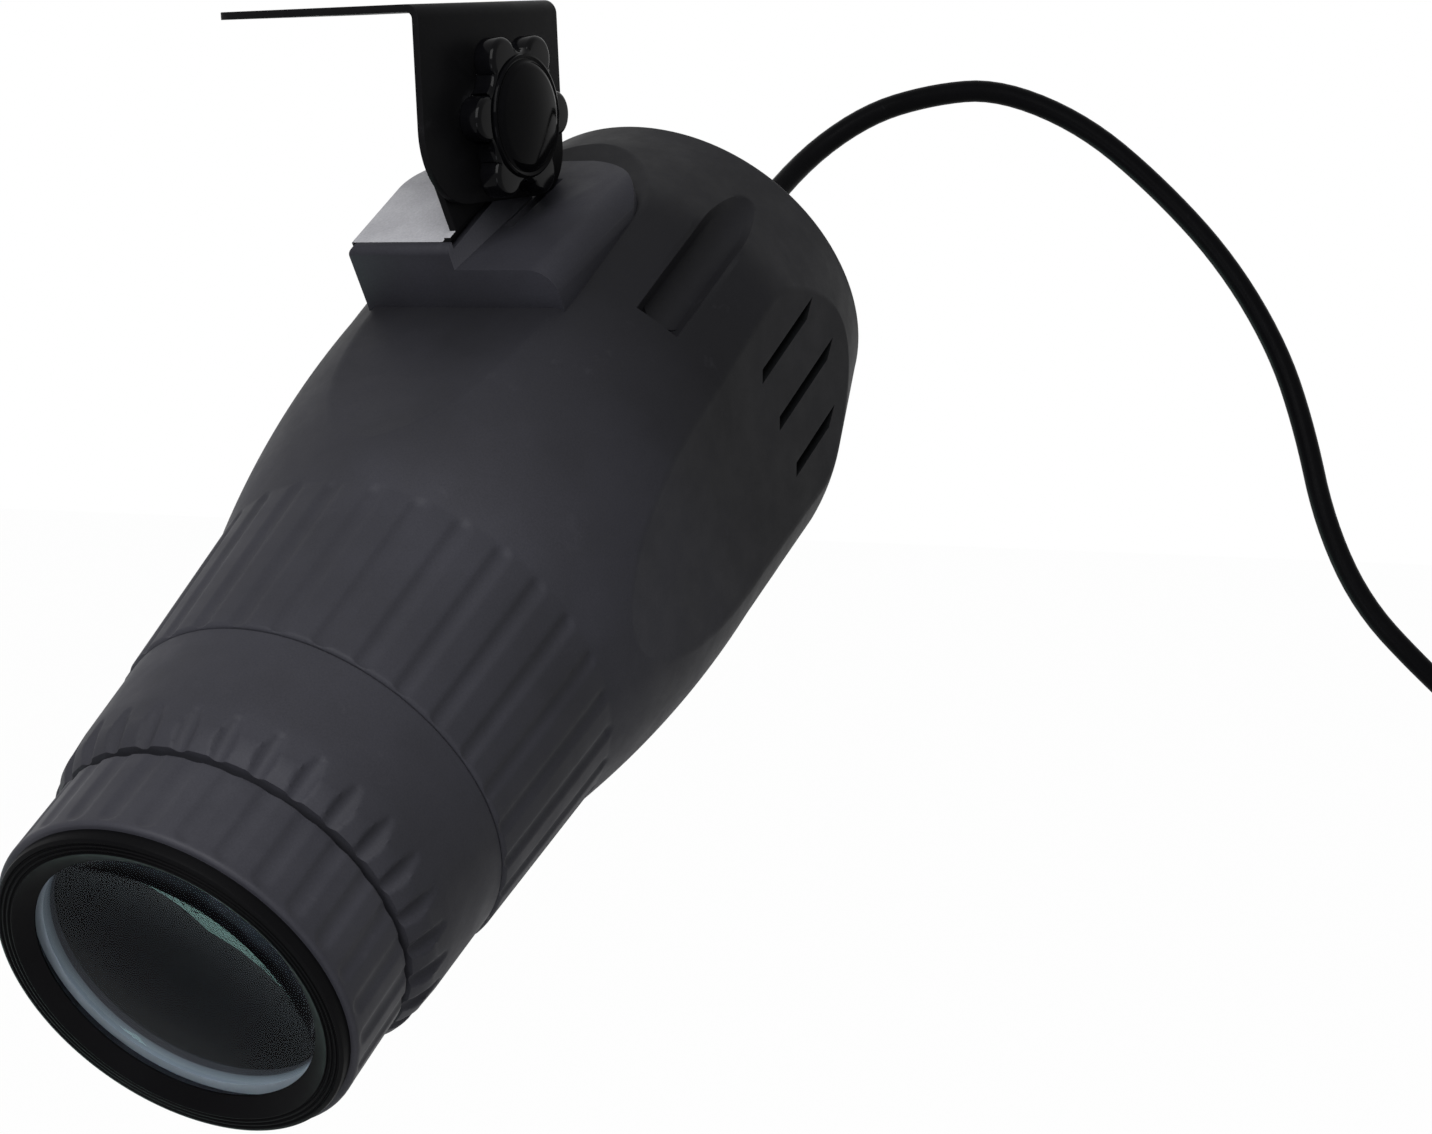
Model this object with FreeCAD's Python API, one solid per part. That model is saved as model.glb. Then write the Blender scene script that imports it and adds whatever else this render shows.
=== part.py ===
import FreeCAD, Part
import math
import os

V = FreeCAD.Vector
os.makedirs("parts", exist_ok=True)

# A ceiling spotlight with a narrow beam: a bent steel bracket, a tilting lamp head with a
# focusing front ring, a star knob that clamps the tilt, and a mains lead put away in a coil.
# All lengths are in millimetres. The origin is the centre of the bracket's ceiling face,
# +Z is up, and the lamp tilts about an axis along X. The lamp head is drawn in a frame of
# its own, with Y running back along the lens axis from the edge of the front glass, and is
# then tilted into place about its pivot.


# Clearances
run_gap = 0.06
face_gap = 0.1
free_gap = 0.35
overrun = 3.0

# Ceiling bracket
sheet = 1.6
bracket_width = 55.0
plate_reach = 51.0
plate_corner = 4.0
bend_inner = 1.4
pivot_drop = 24.0
leg_below_pivot = 17.6
leg_front_corner = 16.0
leg_rear_corner = 10.0
slot_width = 5.2
slot_length = 12.0
slot_spacing = 30.0

# Tilt clamp
bolt_r = 3.0
bolt_head_r = 6.5
bolt_head_height = 3.2
bolt_end_gap = 1.0
washer_r = 9.0
friction_thick = 0.8
clamp_washer_thick = 1.2
knob_lobes = 6
knob_r = 18.4
lobe_r = 4.8
valley_r = 4.5
knob_hub_r = 9.5
knob_hub_height = 0.9
knob_thick = 6.2
knob_round = 1.1
insert_r = 5.0
cap_rim = 5.4
cap_edge = 0.7
cap_rise = 1.9

# How far the lamp points down
aim_tilt = 28.2

# Lens tube that slides in the barrel
tube_bore = 31.0
tube_wall = 3.4
tube_length = 42.2
tube_flange_rise = 3.0
tube_flange = 5.0
key_width = 4.0
field_lens_edge = 4.0
field_lens_sphere = 120.0
lens_seat = 2.0
lens_ring = 2.2

# Front glass and its bezel
glass_wall = 1.7
glass_lap = 2.7
glass_edge = 3.0
glass_inset = 1.2
glass_front_sphere = 160.0
glass_back_sphere = 95.0
bezel_inset = 1.4
bezel_rise = 2.3
bezel_back = 0.5
bezel_lip = 0.35
bezel_ridges = 3
bezel_ridge_pitch = 0.95
bezel_ridge_depth = 0.4

# Focus ring
ring_wall = 4.14
ring_length = 20.0
ring_chamfer = 0.8
ring_pocket = 7.0
ring_shoulder = 2.0
ring_gap = 1.5
ring_flutes = 30
ring_flute_width = 4.4
ring_flute_depth = 0.6
ring_flute_start = 3.2

# Front barrel
collar_step = 0.4
collar_swell = 2.7
collar_rise = 6.0
collar_length = 11.0
collar_flute_width = 3.2
collar_flute_depth = 0.7
collar_flute_drop = 0.1
collar_flute_length = 8.0
barrel_swell = 0.5
barrel_step = 2.5
barrel_length = 31.0
barrel_land = 9.0
neck_wall = 2.74
neck_length = 13.0

# Housing shell
wall = 2.6
sleeve_gap = 0.1
sleeve_lip = 0.9
sleeve_wall = 3.14
sleeve_flare = 2.8
sleeve_length = 43.0
shoulder_swell = 4.9
shoulder_mid = 25.7
shoulder_top_swell = 2.5
shoulder_length = 63.7
belly_swell = 1.0
straight_length = 38.7
rear_fall = 9.1
taper_length = 37.3
taper_soft = 6.0
rim_round = 2.6
flat_cut = 5.9
sleeve_flutes = 30
sleeve_flute_width = 4.2
sleeve_flute_depth = 0.75
sleeve_flute_margin = 1.2
sleeve_flute_end = 2.0
corner_angle = 45.0

# Screw channels in the housing's four corners
channel_r = 6.2
channel_depth = 4.0
channel_lead = 6.0
channel_wall = 2.2
channel_pocket_r = 5.0
channel_pocket_sink = 1.0
channel_pocket_length = 4.2

# Air vents in the two side flats
vent_width = 2.6
vent_pitch = 13.1
vent_lengths = (30.0, 32.5, 24.0)
vent_lead = 21.4
vent_stagger = 1.1
vent_front_slant = 1.7
vent_rear_slant = 5.0

# Rear cover
cover_rim = 4.0
cover_thick = 2.5
cover_inset = 2.0
ledge_thick = 2.5
ledge_width = 5.6
cover_screw_set = 2.8
cover_screws_count = 4
screw_r = 1.5
screw_head_r = 2.8
screw_head = 1.7
inlet_slots = 8
inlet_width = 3.0
inlet_set = 5.6
inlet_length = 12.0

# Cable gland and strain relief
gland_offset = 6.0
gland_shank_r = 8.0
gland_hex_rise = 3.0
gland_hex = 5.0
gland_dome_rise = 1.2
gland_dome = 6.0
locknut = 4.5
boot_swell = 2.7
boot_end_wall = 0.8
boot_length = 26.0
boot_rings = 5
boot_ring_depth = 0.5

# Saddle and ear bracket on the housing's upper flat
saddle_lead = 5.0
saddle_half = 24.3
saddle_length = 53.0
saddle_side_length = 34.0
saddle_high = 13.2
saddle_lip = 2.2
saddle_rear_high = 3.5
saddle_round = 6.0
saddle_lip_round = 1.9
knob_saddle_gap = 2.1
foot_length = 35.0
foot_corner = 11.0
ear_bend = 1.0
ear_plate_gap = 2.4
ear_front_reach = 22.6
pivot_set = 27.6
leg_flat_gap = 0.72
leg_relief_side = 0.35
leg_relief_gap = 1.1
leg_relief_lead = 7.0
foot_screw_r = 1.9
foot_screw_head_r = 3.5
foot_screw_head = 2.4
foot_screw_side = 15.0
foot_screw_front = 9.0
foot_screw_pitch = 20.0
saddle_screw_grip = 4.0

# Heat sink, light source and optics
sink_lead = 19.0
sink_gap = 0.5
sink_corner_lap = 3.2
sink_base = 6.0
sink_length = 31.0
fin_thick = 1.5
fin_count = 11
fin_inset = 2.4
boss_r = 4.2
boss_set = 4.1
boss_length = 16.0
led_board_set = 5.6
led_board_thick = 1.6
led_base = 14.0
led_base_thick = 1.4
led_dome_r = 5.0
mount_tube_r = 25.6
mount_wall = 2.0
mount_length = 53.0
mount_flange_lap = 4.2
mount_flange = 4.0
mount_screws_count = 3
gate_r = 9.0
gate_thick = 1.2
gate_ring = 2.4
condenser_edge = 3.0
condenser_sphere = 38.0
condenser_back = 35.0
condenser_shelf = 1.4
reflector_wall = 1.2
reflector_throat = 7.4
reflector_length = 12.4

# Cooling fan
fan_size = 60.0
fan_depth = 15.0
fan_corner = 4.0
fan_wall = 1.8
fan_web = 3.0
fan_strut = 4.0
fan_struts_count = 3
fan_strut_angle = 30.0
fan_hub_r = 11.5
fan_tip_gap = 0.8
fan_hub_depth = 9.0
fan_blades = 7
blade_thick = 1.2
blade_width = 9.0
blade_pitch_angle = 38.0
fan_pin_r = 1.6
fan_screw_set = 5.0
fan_screw_grip = 8.0

# Driver board
board_gap = 1.6
board_thick = 1.6
board_stand = 26.0
standoff_r = 2.6
standoff_set = 5.0
standoff_count = 4
transformer_size = (24.0, 20.0, 17.0)
transformer_place = (-15.0, -5.0)
capacitor_r = 5.5
capacitor_height = 19.0
capacitor_places = ((-12.0, 13.0), (1.5, 17.0))
terminal_size = (16.0, 8.0, 10.0)
terminal_place = (14.0, -12.0)
chip_size = (9.0, 6.0, 3.0)
chip_places = ((15.0, 12.0), (1.0, -21.0))

# Mains lead
cord_r = 2.7
coil_gap = 0.55
coil_climb_dip = 1.2
coil_out_r = 38.6
coil_in_quarter_count = 11
coil_out_quarter_count = 12
coil_entry_r = 22.0
coil_tail = 15.0
coil_angle = 28.2
tie_width = 8.0
tie_thick = 1.2
tie_gap = 0.3
tie_bow = 0.55
tie_angle = 150.0
plug_length = 35.0
plug_width = 26.0
plug_thick = 13.7
plug_nose_width = 17.0
plug_corner = 3.0
plug_pin_r = 2.0
plug_pin_length = 19.0
plug_pin_pitch = 18.6
plug_boot_r = 4.6
plug_boot_length = 16.0

# Route of the free lead, from the strain relief's end to the top of the coil
lead_first_run = 21.1
lead_route = [
    (40.9, 146.0, -30.4),
    (54.0, 158.5, -26.1),
    (67.0, 169.3, -25.5),
    (85.5, 178.6, -34.9),
    (101.7, 185.8, -50.8),
    (117.1, 191.8, -69.8),
    (129.3, 194.6, -91.7),
    (136.0, 194.5, -112.0),
    (141.1, 193.3, -134.8),
    (150.1, 194.4, -155.4),
    (164.2, 199.1, -172.2),
    (178.5, 205.6, -187.5),
    (188.0, 210.2, -206.5),
    (190.0, 211.3, -227.5),
    (190.0, 211.3, -243.0),
]

# Places worked out from the sizes above
leg_outer = plate_reach / 2
leg_inner = leg_outer - sheet
leg_reach = math.hypot(bracket_width / 2 - leg_rear_corner, leg_below_pivot - leg_rear_corner) + leg_rear_corner
ear_face = leg_inner - face_gap - friction_thick - face_gap
lamp_x = ear_face - sheet / 2
pivot = V(lamp_x, 0, -pivot_drop)
clamp_face = leg_outer + face_gap
knob_back = clamp_face + clamp_washer_thick + face_gap
knob_lobe_back = knob_back + knob_hub_height
knob_front = knob_back + knob_thick
cap_r = knob_r - cap_rim

tube_r = tube_bore + tube_wall
tube_flange_r = tube_r + tube_flange_rise
field_lens_r = tube_bore - 2 * run_gap
glass_r = tube_r - glass_wall
glass_view_r = glass_r - glass_lap
ring_r = tube_r + run_gap + ring_wall
bezel_r = ring_r - bezel_inset
collar_front_r = ring_r + collar_step
collar_r = ring_r + collar_swell
barrel_mid_r = collar_r + barrel_swell
neck_r = tube_flange_r + run_gap + neck_wall
barrel_rear_r = neck_r + barrel_step
sleeve_front_r = neck_r + run_gap + sleeve_wall
sleeve_rear_r = sleeve_front_r + sleeve_flare
shoulder_mid_r = sleeve_rear_r + shoulder_swell
shoulder_r = shoulder_mid_r + shoulder_top_swell
housing_r = shoulder_r + belly_swell
rear_r = housing_r - rear_fall
flat_reach = housing_r - flat_cut
cover_r = rear_r - cover_rim
ledge_bore = cover_r - ledge_width
cover_screw_circle = cover_r - cover_screw_set
inlet_outer = ledge_bore - inlet_set
inlet_inner = inlet_outer - inlet_length
channel_axis = housing_r + channel_r - channel_depth
channel_pocket_axis = channel_axis - channel_r + channel_pocket_r - channel_pocket_sink
boss_circle = shoulder_mid_r - boss_set
sink_r = flat_reach - wall - sink_gap
sink_corner_r = boss_circle + sink_corner_lap
mount_screw_circle = mount_tube_r + mount_flange_lap
mount_flange_r = mount_screw_circle + mount_flange_lap
led_board_r = mount_tube_r - led_board_set
fan_bore = fan_size / 2 - fan_wall
fan_tip_r = fan_bore - fan_tip_gap
fan_screw_side = fan_size / 2 - fan_screw_set
board_r = ledge_bore - board_gap
standoff_circle = board_r - standoff_set
boot_end_r = cord_r + boot_end_wall
boot_r = boot_end_r + boot_swell
gland_hex_r = gland_shank_r + gland_hex_rise
gland_dome_r = gland_shank_r + gland_dome_rise

ring_front = bezel_back
ring_rear = ring_front + ring_length
barrel_front = ring_rear + ring_gap
barrel_rear = barrel_front + barrel_length
tube_front = ring_front + ring_pocket + ring_shoulder + free_gap
tube_rear = tube_front + tube_length
sleeve_front = barrel_rear + sleeve_gap
sleeve_rear = sleeve_front + sleeve_length
shoulder_rear = sleeve_rear + shoulder_length
taper_front = shoulder_rear + straight_length
belly_slope = belly_swell / straight_length
taper_slope = rear_fall / (taper_length - rim_round)
rear_end = taper_front + taper_length
cover_rear = rear_end - cover_inset
cover_front = cover_rear - cover_thick
channel_front = shoulder_rear + channel_lead
vent_front = shoulder_rear + vent_lead
saddle_front = shoulder_rear - saddle_lead
pivot_back = saddle_front + pivot_set
pivot_up = flat_reach + leg_reach + leg_flat_gap
saddle_front_high = pivot_up - flat_reach - knob_r - knob_saddle_gap
foot_under = flat_reach + saddle_high
foot_top = foot_under + sheet
foot_front = saddle_front + saddle_lip + face_gap
ear_top_r = pivot_drop - sheet - ear_plate_gap
leg_relief_r = leg_reach + leg_relief_gap
sink_face = shoulder_rear - sink_lead
sink_rear = sink_face + sink_length
fan_rear = sink_rear + fan_depth
board_front = cover_front - board_stand - board_thick
board_rear = cover_front - board_stand
gland_rear = cover_rear + gland_hex + gland_dome
boot_start = gland_rear - gland_dome / 2
boot_end = boot_start + boot_length

lamp_place = FreeCAD.Placement(pivot, FreeCAD.Rotation(V(1, 0, 0), aim_tilt))
lamp_place = lamp_place.multiply(FreeCAD.Placement(V(0, -pivot_back, -pivot_up), FreeCAD.Rotation()))


def save(name, shape):
    """Write one piece, already in the part's own frame."""
    shape.exportStep("parts/" + name + ".step")


def lamp(name, shape):
    """Tilt a piece of the lamp head into place and write it."""
    placed = shape.copy()
    placed.Placement = lamp_place.multiply(placed.Placement)
    save(name, placed)


def loop_of(steps, point):
    """A closed wire; a step is one point, or a pair of them for an arc through the first."""
    edges = []
    here = point(*steps[0])
    for step in list(steps[1:]) + [steps[0]]:
        if isinstance(step[0], tuple):
            there = point(*step[1])
            edges.append(Part.Arc(here, point(*step[0]), there).toShape())
        else:
            there = point(*step)
            edges.append(Part.LineSegment(here, there).toShape())
        here = there
    return Part.Wire(edges)


def spun(*steps):
    """A solid of revolution about the lens axis, from (radius, back) steps."""
    wire = loop_of(steps, lambda radius, back: V(radius, back, 0))
    return Part.Face(wire).revolve(V(), V(0, 1, 0), 360)


def plan_prism(steps, low, high):
    """An (x, back) outline raised from low to high."""
    wire = loop_of(steps, lambda x, back: V(x, back, low))
    return Part.Face(wire).extrude(V(0, 0, high - low))


def side_prism(steps, left, right):
    """A (back, up) outline drawn across from left to right."""
    wire = loop_of(steps, lambda back, up: V(left, back, up))
    return Part.Face(wire).extrude(V(right - left, 0, 0))


def end_prism(steps, front, rear):
    """An (x, up) outline drawn back from front to rear."""
    wire = loop_of(steps, lambda x, up: V(x, front, up))
    return Part.Face(wire).extrude(V(0, rear - front, 0))


def rod(radius, front, rear, x=0.0, up=0.0):
    return Part.makeCylinder(radius, rear - front, V(x, front, up), V(0, 1, 0))


def pipe(outer, inner, front, rear, x=0.0, up=0.0):
    return rod(outer, front, rear, x, up).cut(rod(inner, front, rear, x, up))


def post(radius, low, high, x, back):
    return Part.makeCylinder(radius, high - low, V(x, back, low), V(0, 0, 1))


def block(left, right, front, rear, low, high):
    return Part.makeBox(right - left, rear - front, high - low, V(left, front, low))


def axle(radius, left, right):
    """A round piece on the tilt axis, in the part's own frame."""
    return Part.makeCylinder(radius, right - left, V(left, pivot.y, pivot.z), V(1, 0, 0))


def around(shape, count, first=0.0):
    """Copies of a shape, evenly turned about the lens axis."""
    turned = []
    for index in range(count):
        copy = shape.copy()
        copy.rotate(V(), V(0, 1, 0), first + 360.0 * index / count)
        turned.append(copy)
    return turned


def fused(shapes):
    return shapes[0].multiFuse(shapes[1:]).removeSplitter()


def hexagon(radius, front, rear, x=0.0, up=0.0):
    corners = [(x + radius * math.cos(math.radians(60 * k)), up + radius * math.sin(math.radians(60 * k)))
               for k in range(6)]
    return end_prism(corners, front, rear)


def flute_cutter(radius, end_radius, front, rear, width, depth):
    """A round-ended groove cutter along a round or tapered skin, at the top of the circle."""
    cut_r = (width * width / 4 + depth * depth) / (2 * depth)
    start = V(0, front, radius + cut_r - depth)
    run = V(0, rear, end_radius + cut_r - depth) - start
    cutter = Part.makeCylinder(cut_r, run.Length, start, run)
    return cutter.fuse(Part.makeSphere(cut_r, start)).fuse(Part.makeSphere(cut_r, start + run))


def pan_screw(radius, head_r, head, grip, x, back, up, direction):
    """A screw whose head's seat is at the given place, pointing along direction."""
    seat = V(x, back, up)
    shank = Part.makeCylinder(radius, grip, seat, direction)
    cap = Part.makeCylinder(head_r, head, seat, direction * -1)
    socket = Part.makeCylinder(radius * 0.8, head * 0.6, seat - direction * head, direction)
    return shank.fuse(cap).cut(socket).removeSplitter()


def housing_form(inset):
    """The housing's outer form, taken in by inset: a round profile with four flats."""
    skin = spun(
        (0, sleeve_front),
        (sleeve_front_r - inset - sleeve_lip, sleeve_front),
        (sleeve_front_r - inset, sleeve_front + sleeve_lip),
        (sleeve_rear_r - inset, sleeve_rear),
        ((shoulder_mid_r - inset, sleeve_rear + shoulder_mid), (shoulder_r - inset, shoulder_rear)),
        (housing_r - inset - belly_slope * taper_soft, taper_front - taper_soft),
        ((housing_r - inset - (belly_slope + taper_slope) * taper_soft / 4, taper_front),
         (housing_r - inset - taper_slope * taper_soft, taper_front + taper_soft)),
        (rear_r - inset, rear_end - rim_round),
        ((rear_r - inset - rim_round * 0.45, rear_end - rim_round * 0.24),
         (rear_r - inset - rim_round * 1.4, rear_end)),
        (0, rear_end))
    reach = flat_reach - inset
    return skin.common(block(-reach, reach, sleeve_front, rear_end, -reach, reach))


def ceiling_bracket():
    bend_outer = bend_inner + sheet
    left = -leg_outer
    half = bracket_width / 2
    low = -pivot_drop - leg_below_pivot
    inner_turn = bend_inner * (1 - math.sqrt(0.5))
    outer_turn = bend_outer * (1 - math.sqrt(0.5))
    profile = [
        (left, 0), (leg_outer - bend_outer, 0),
        ((leg_outer - outer_turn, -outer_turn), (leg_outer, -bend_outer)),
        (leg_outer, low), (leg_inner, low), (leg_inner, -bend_outer),
        ((leg_inner - inner_turn, -sheet - inner_turn), (leg_inner - bend_inner, -sheet)),
        (left, -sheet)]
    bent = end_prism(profile, -half, half)
    turn = 1 - math.sqrt(0.5)
    leg = side_prism([
        (-half, 0), (-half, low + leg_front_corner),
        ((-half + leg_front_corner * turn, low + leg_front_corner * turn), (-half + leg_front_corner, low)),
        (half - leg_rear_corner, low),
        ((half - leg_rear_corner * turn, low + leg_rear_corner * turn), (half, low + leg_rear_corner)),
        (half, 0)], left, leg_outer)
    plate = plan_prism([
        (left, -half + plate_corner),
        ((left + plate_corner * turn, -half + plate_corner * turn), (left + plate_corner, -half)),
        (leg_outer, -half), (leg_outer, half), (left + plate_corner, half),
        ((left + plate_corner * turn, half - plate_corner * turn), (left, half - plate_corner))],
        low, 0)
    bracket = bent.common(leg).common(plate)
    slot_half = (slot_length - slot_width) / 2
    for centre in (-slot_spacing / 2, slot_spacing / 2):
        ends = [post(slot_width / 2, -sheet - overrun, overrun, 0, centre + way * slot_half) for way in (-1, 1)]
        middle = block(-slot_width / 2, slot_width / 2, centre - slot_half, centre + slot_half,
                       -sheet - overrun, overrun)
        bracket = bracket.cut(fused(ends + [middle]))
    bracket = bracket.cut(axle(bolt_r + run_gap, leg_inner - overrun, leg_outer + overrun))
    save("ceiling_bracket", bracket)


def tilt_clamp():
    head_base = lamp_x - sheet / 2
    shank_end = knob_front - bolt_end_gap
    sphere_r = (bolt_head_r ** 2 + bolt_head_height ** 2) / (2 * bolt_head_height)
    ball = Part.makeSphere(sphere_r, V(head_base - bolt_head_height + sphere_r, pivot.y, pivot.z))
    head = ball.common(axle(bolt_head_r, head_base - bolt_head_height, head_base))
    save("pivot_bolt", head.fuse(axle(bolt_r, head_base, shank_end)).removeSplitter())

    friction = axle(washer_r, ear_face, ear_face + friction_thick)
    save("friction_washer", friction.cut(axle(bolt_r + run_gap, ear_face - overrun, leg_outer)))
    clamp = axle(washer_r, clamp_face, clamp_face + clamp_washer_thick)
    save("clamp_washer", clamp.cut(axle(bolt_r + run_gap, leg_outer - overrun, knob_front)))


def star_outline(x):
    """Round lobes joined by round valleys, tangent to each other."""
    lobe_d = knob_r - lobe_r
    step = math.radians(360 / knob_lobes / 2)
    reach = lobe_r + valley_r
    valley_d = lobe_d * math.cos(step) + math.sqrt(reach ** 2 - (lobe_d * math.sin(step)) ** 2)

    def at(distance, angle):
        return V(x, pivot.y + distance * math.cos(angle), pivot.z + distance * math.sin(angle))

    edges = []
    for index in range(knob_lobes):
        angle = 2 * step * index
        lobe = at(lobe_d, angle)
        before = at(valley_d, angle - step)
        after = at(valley_d, angle + step)
        start = lobe + (before - lobe) * (lobe_r / reach)
        end = lobe + (after - lobe) * (lobe_r / reach)
        next_lobe = at(lobe_d, angle + 2 * step)
        next_start = next_lobe + (after - next_lobe) * (lobe_r / reach)
        edges.append(Part.Arc(start, at(knob_r, angle), end).toShape())
        edges.append(Part.Arc(end, at(valley_d - valley_r, angle + step), next_start).toShape())
    return Part.Wire(edges)


def star_knob():
    star = Part.Face(star_outline(knob_lobe_back)).extrude(V(knob_front - knob_lobe_back, 0, 0))
    rims = [edge for edge in star.Edges
            if abs(edge.BoundBox.XMin - edge.BoundBox.XMax) < run_gap]
    star = star.makeFillet(knob_round, rims)
    knob = star.fuse(axle(knob_hub_r, knob_back, knob_lobe_back)).removeSplitter()
    insert = axle(insert_r, knob_back, knob_front - bolt_end_gap / 2)
    save("star_knob", knob.cut(insert))
    bore = axle(bolt_r + run_gap, knob_back, knob_front - bolt_end_gap / 2)
    save("knob_insert", insert.cut(bore))
    edge = axle(cap_r, knob_front, knob_front + cap_edge)
    sphere_r = (cap_r ** 2 + cap_rise ** 2) / (2 * cap_rise)
    ball = Part.makeSphere(sphere_r, V(knob_front + cap_edge + cap_rise - sphere_r, pivot.y, pivot.z))
    dome = ball.common(axle(cap_r, knob_front + cap_edge, knob_front + cap_edge + cap_rise))
    save("knob_cap", edge.fuse(dome).removeSplitter())


def sphere_step(sphere, radius):
    """How far a spherical face rises at the axis above its edge of the given radius."""
    return sphere - math.sqrt(sphere ** 2 - radius ** 2)


def dished_front(sphere, clear, back):
    """Steps from the axis out to the flat rim, over a face that bulges forwards."""
    rise = sphere_step(sphere, clear)
    half = clear / 2
    return [(0, back - rise), ((half, back - rise + sphere_step(sphere, half)), (clear, back))]


def front_optics():
    edge_front = glass_inset
    edge_rear = glass_inset + glass_edge
    clear = glass_view_r - free_gap
    half = clear / 2
    rise = sphere_step(glass_back_sphere, clear)
    back_face = ((half, edge_rear + rise - sphere_step(glass_back_sphere, half)), (0, edge_rear + rise))
    steps = dished_front(glass_front_sphere, clear, edge_front)
    steps += [(glass_r, edge_front), (glass_r, edge_rear), (clear, edge_rear), back_face]
    lamp("objective_lens", spun(*steps))

    band = bezel_r - ring_chamfer - bezel_ridges * bezel_ridge_pitch
    steps = [(glass_view_r, bezel_back - bezel_lip), (band, -bezel_rise)]
    for index in range(bezel_ridges):
        radius = band + bezel_ridge_pitch * index
        steps.append((radius + bezel_ridge_pitch * 0.3, -bezel_rise + bezel_ridge_depth))
        steps.append((radius + bezel_ridge_pitch * 0.6, -bezel_rise + bezel_ridge_depth))
        steps.append((radius + bezel_ridge_pitch, -bezel_rise))
    steps += [(bezel_r, -bezel_rise + ring_chamfer), (bezel_r, bezel_back), (glass_view_r, bezel_back)]
    lamp("front_bezel", spun(*steps))

    pocket_rear = ring_front + ring_pocket
    shoulder_rear_face = pocket_rear + ring_shoulder
    pocket_r = glass_r + run_gap
    ring = spun(
        (pocket_r, ring_front), (ring_r - ring_chamfer, ring_front), (ring_r, ring_front + ring_chamfer),
        (ring_r, ring_rear - ring_chamfer / 2), (ring_r - ring_chamfer / 2, ring_rear),
        (tube_r + run_gap, ring_rear), (tube_r + run_gap, shoulder_rear_face),
        (glass_view_r, shoulder_rear_face), (glass_view_r, pocket_rear), (pocket_r, pocket_rear))
    cutter = flute_cutter(ring_r, ring_r, ring_front + ring_flute_start, ring_rear + overrun,
                          ring_flute_width, ring_flute_depth)
    lamp("focus_ring", ring.cut(around(cutter, ring_flutes)))
    lamp("lens_retainer", pipe(glass_r, glass_view_r, edge_rear, pocket_rear))


def lens_tube():
    seat_front = tube_rear - tube_flange - lens_seat
    tube = pipe(tube_r, tube_bore, tube_front, tube_rear)
    flange = pipe(tube_flange_r, tube_bore, tube_rear - tube_flange, tube_rear)
    seat = pipe(tube_bore + run_gap, tube_bore - lens_seat, seat_front, seat_front + lens_seat)
    tube = fused([tube, flange, seat])
    key_slot = block(-key_width / 2 - run_gap, key_width / 2 + run_gap, tube_rear - tube_flange - overrun,
                     tube_rear + overrun, -tube_flange_r - overrun, -tube_r - run_gap)
    lamp("lens_tube", tube.cut(key_slot))
    edge_rear = seat_front
    edge_front = edge_rear - field_lens_edge
    steps = dished_front(field_lens_sphere, tube_bore - lens_seat - free_gap, edge_front)
    steps += [(field_lens_r, edge_front), (field_lens_r, edge_rear), (0, edge_rear)]
    lamp("field_lens", spun(*steps))
    lamp("field_lens_ring", pipe(tube_bore, tube_bore - lens_seat, edge_front - lens_ring, edge_front))


def front_barrel():
    land_rear = barrel_front + barrel_land
    neck_rear = barrel_rear + neck_length
    barrel = spun(
        (tube_r + run_gap, barrel_front), (collar_front_r, barrel_front),
        (collar_r, barrel_front + collar_rise), (barrel_mid_r, barrel_front + collar_length),
        (barrel_rear_r, barrel_rear),
        (neck_r, barrel_rear), (neck_r, neck_rear), (tube_flange_r + run_gap, neck_rear),
        (tube_flange_r + run_gap, land_rear), (tube_r + run_gap, land_rear))
    cutter = flute_cutter(collar_front_r - collar_flute_drop, collar_r + collar_step, barrel_front,
                          barrel_front + collar_flute_length,
                          collar_flute_width, collar_flute_depth)
    barrel = barrel.cut(around(cutter, ring_flutes, 180.0 / ring_flutes))
    key = block(-key_width / 2, key_width / 2, land_rear, neck_rear, -tube_flange_r - wall / 2,
                -tube_r - free_gap)
    lamp("front_barrel", barrel.fuse(key).removeSplitter())


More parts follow.
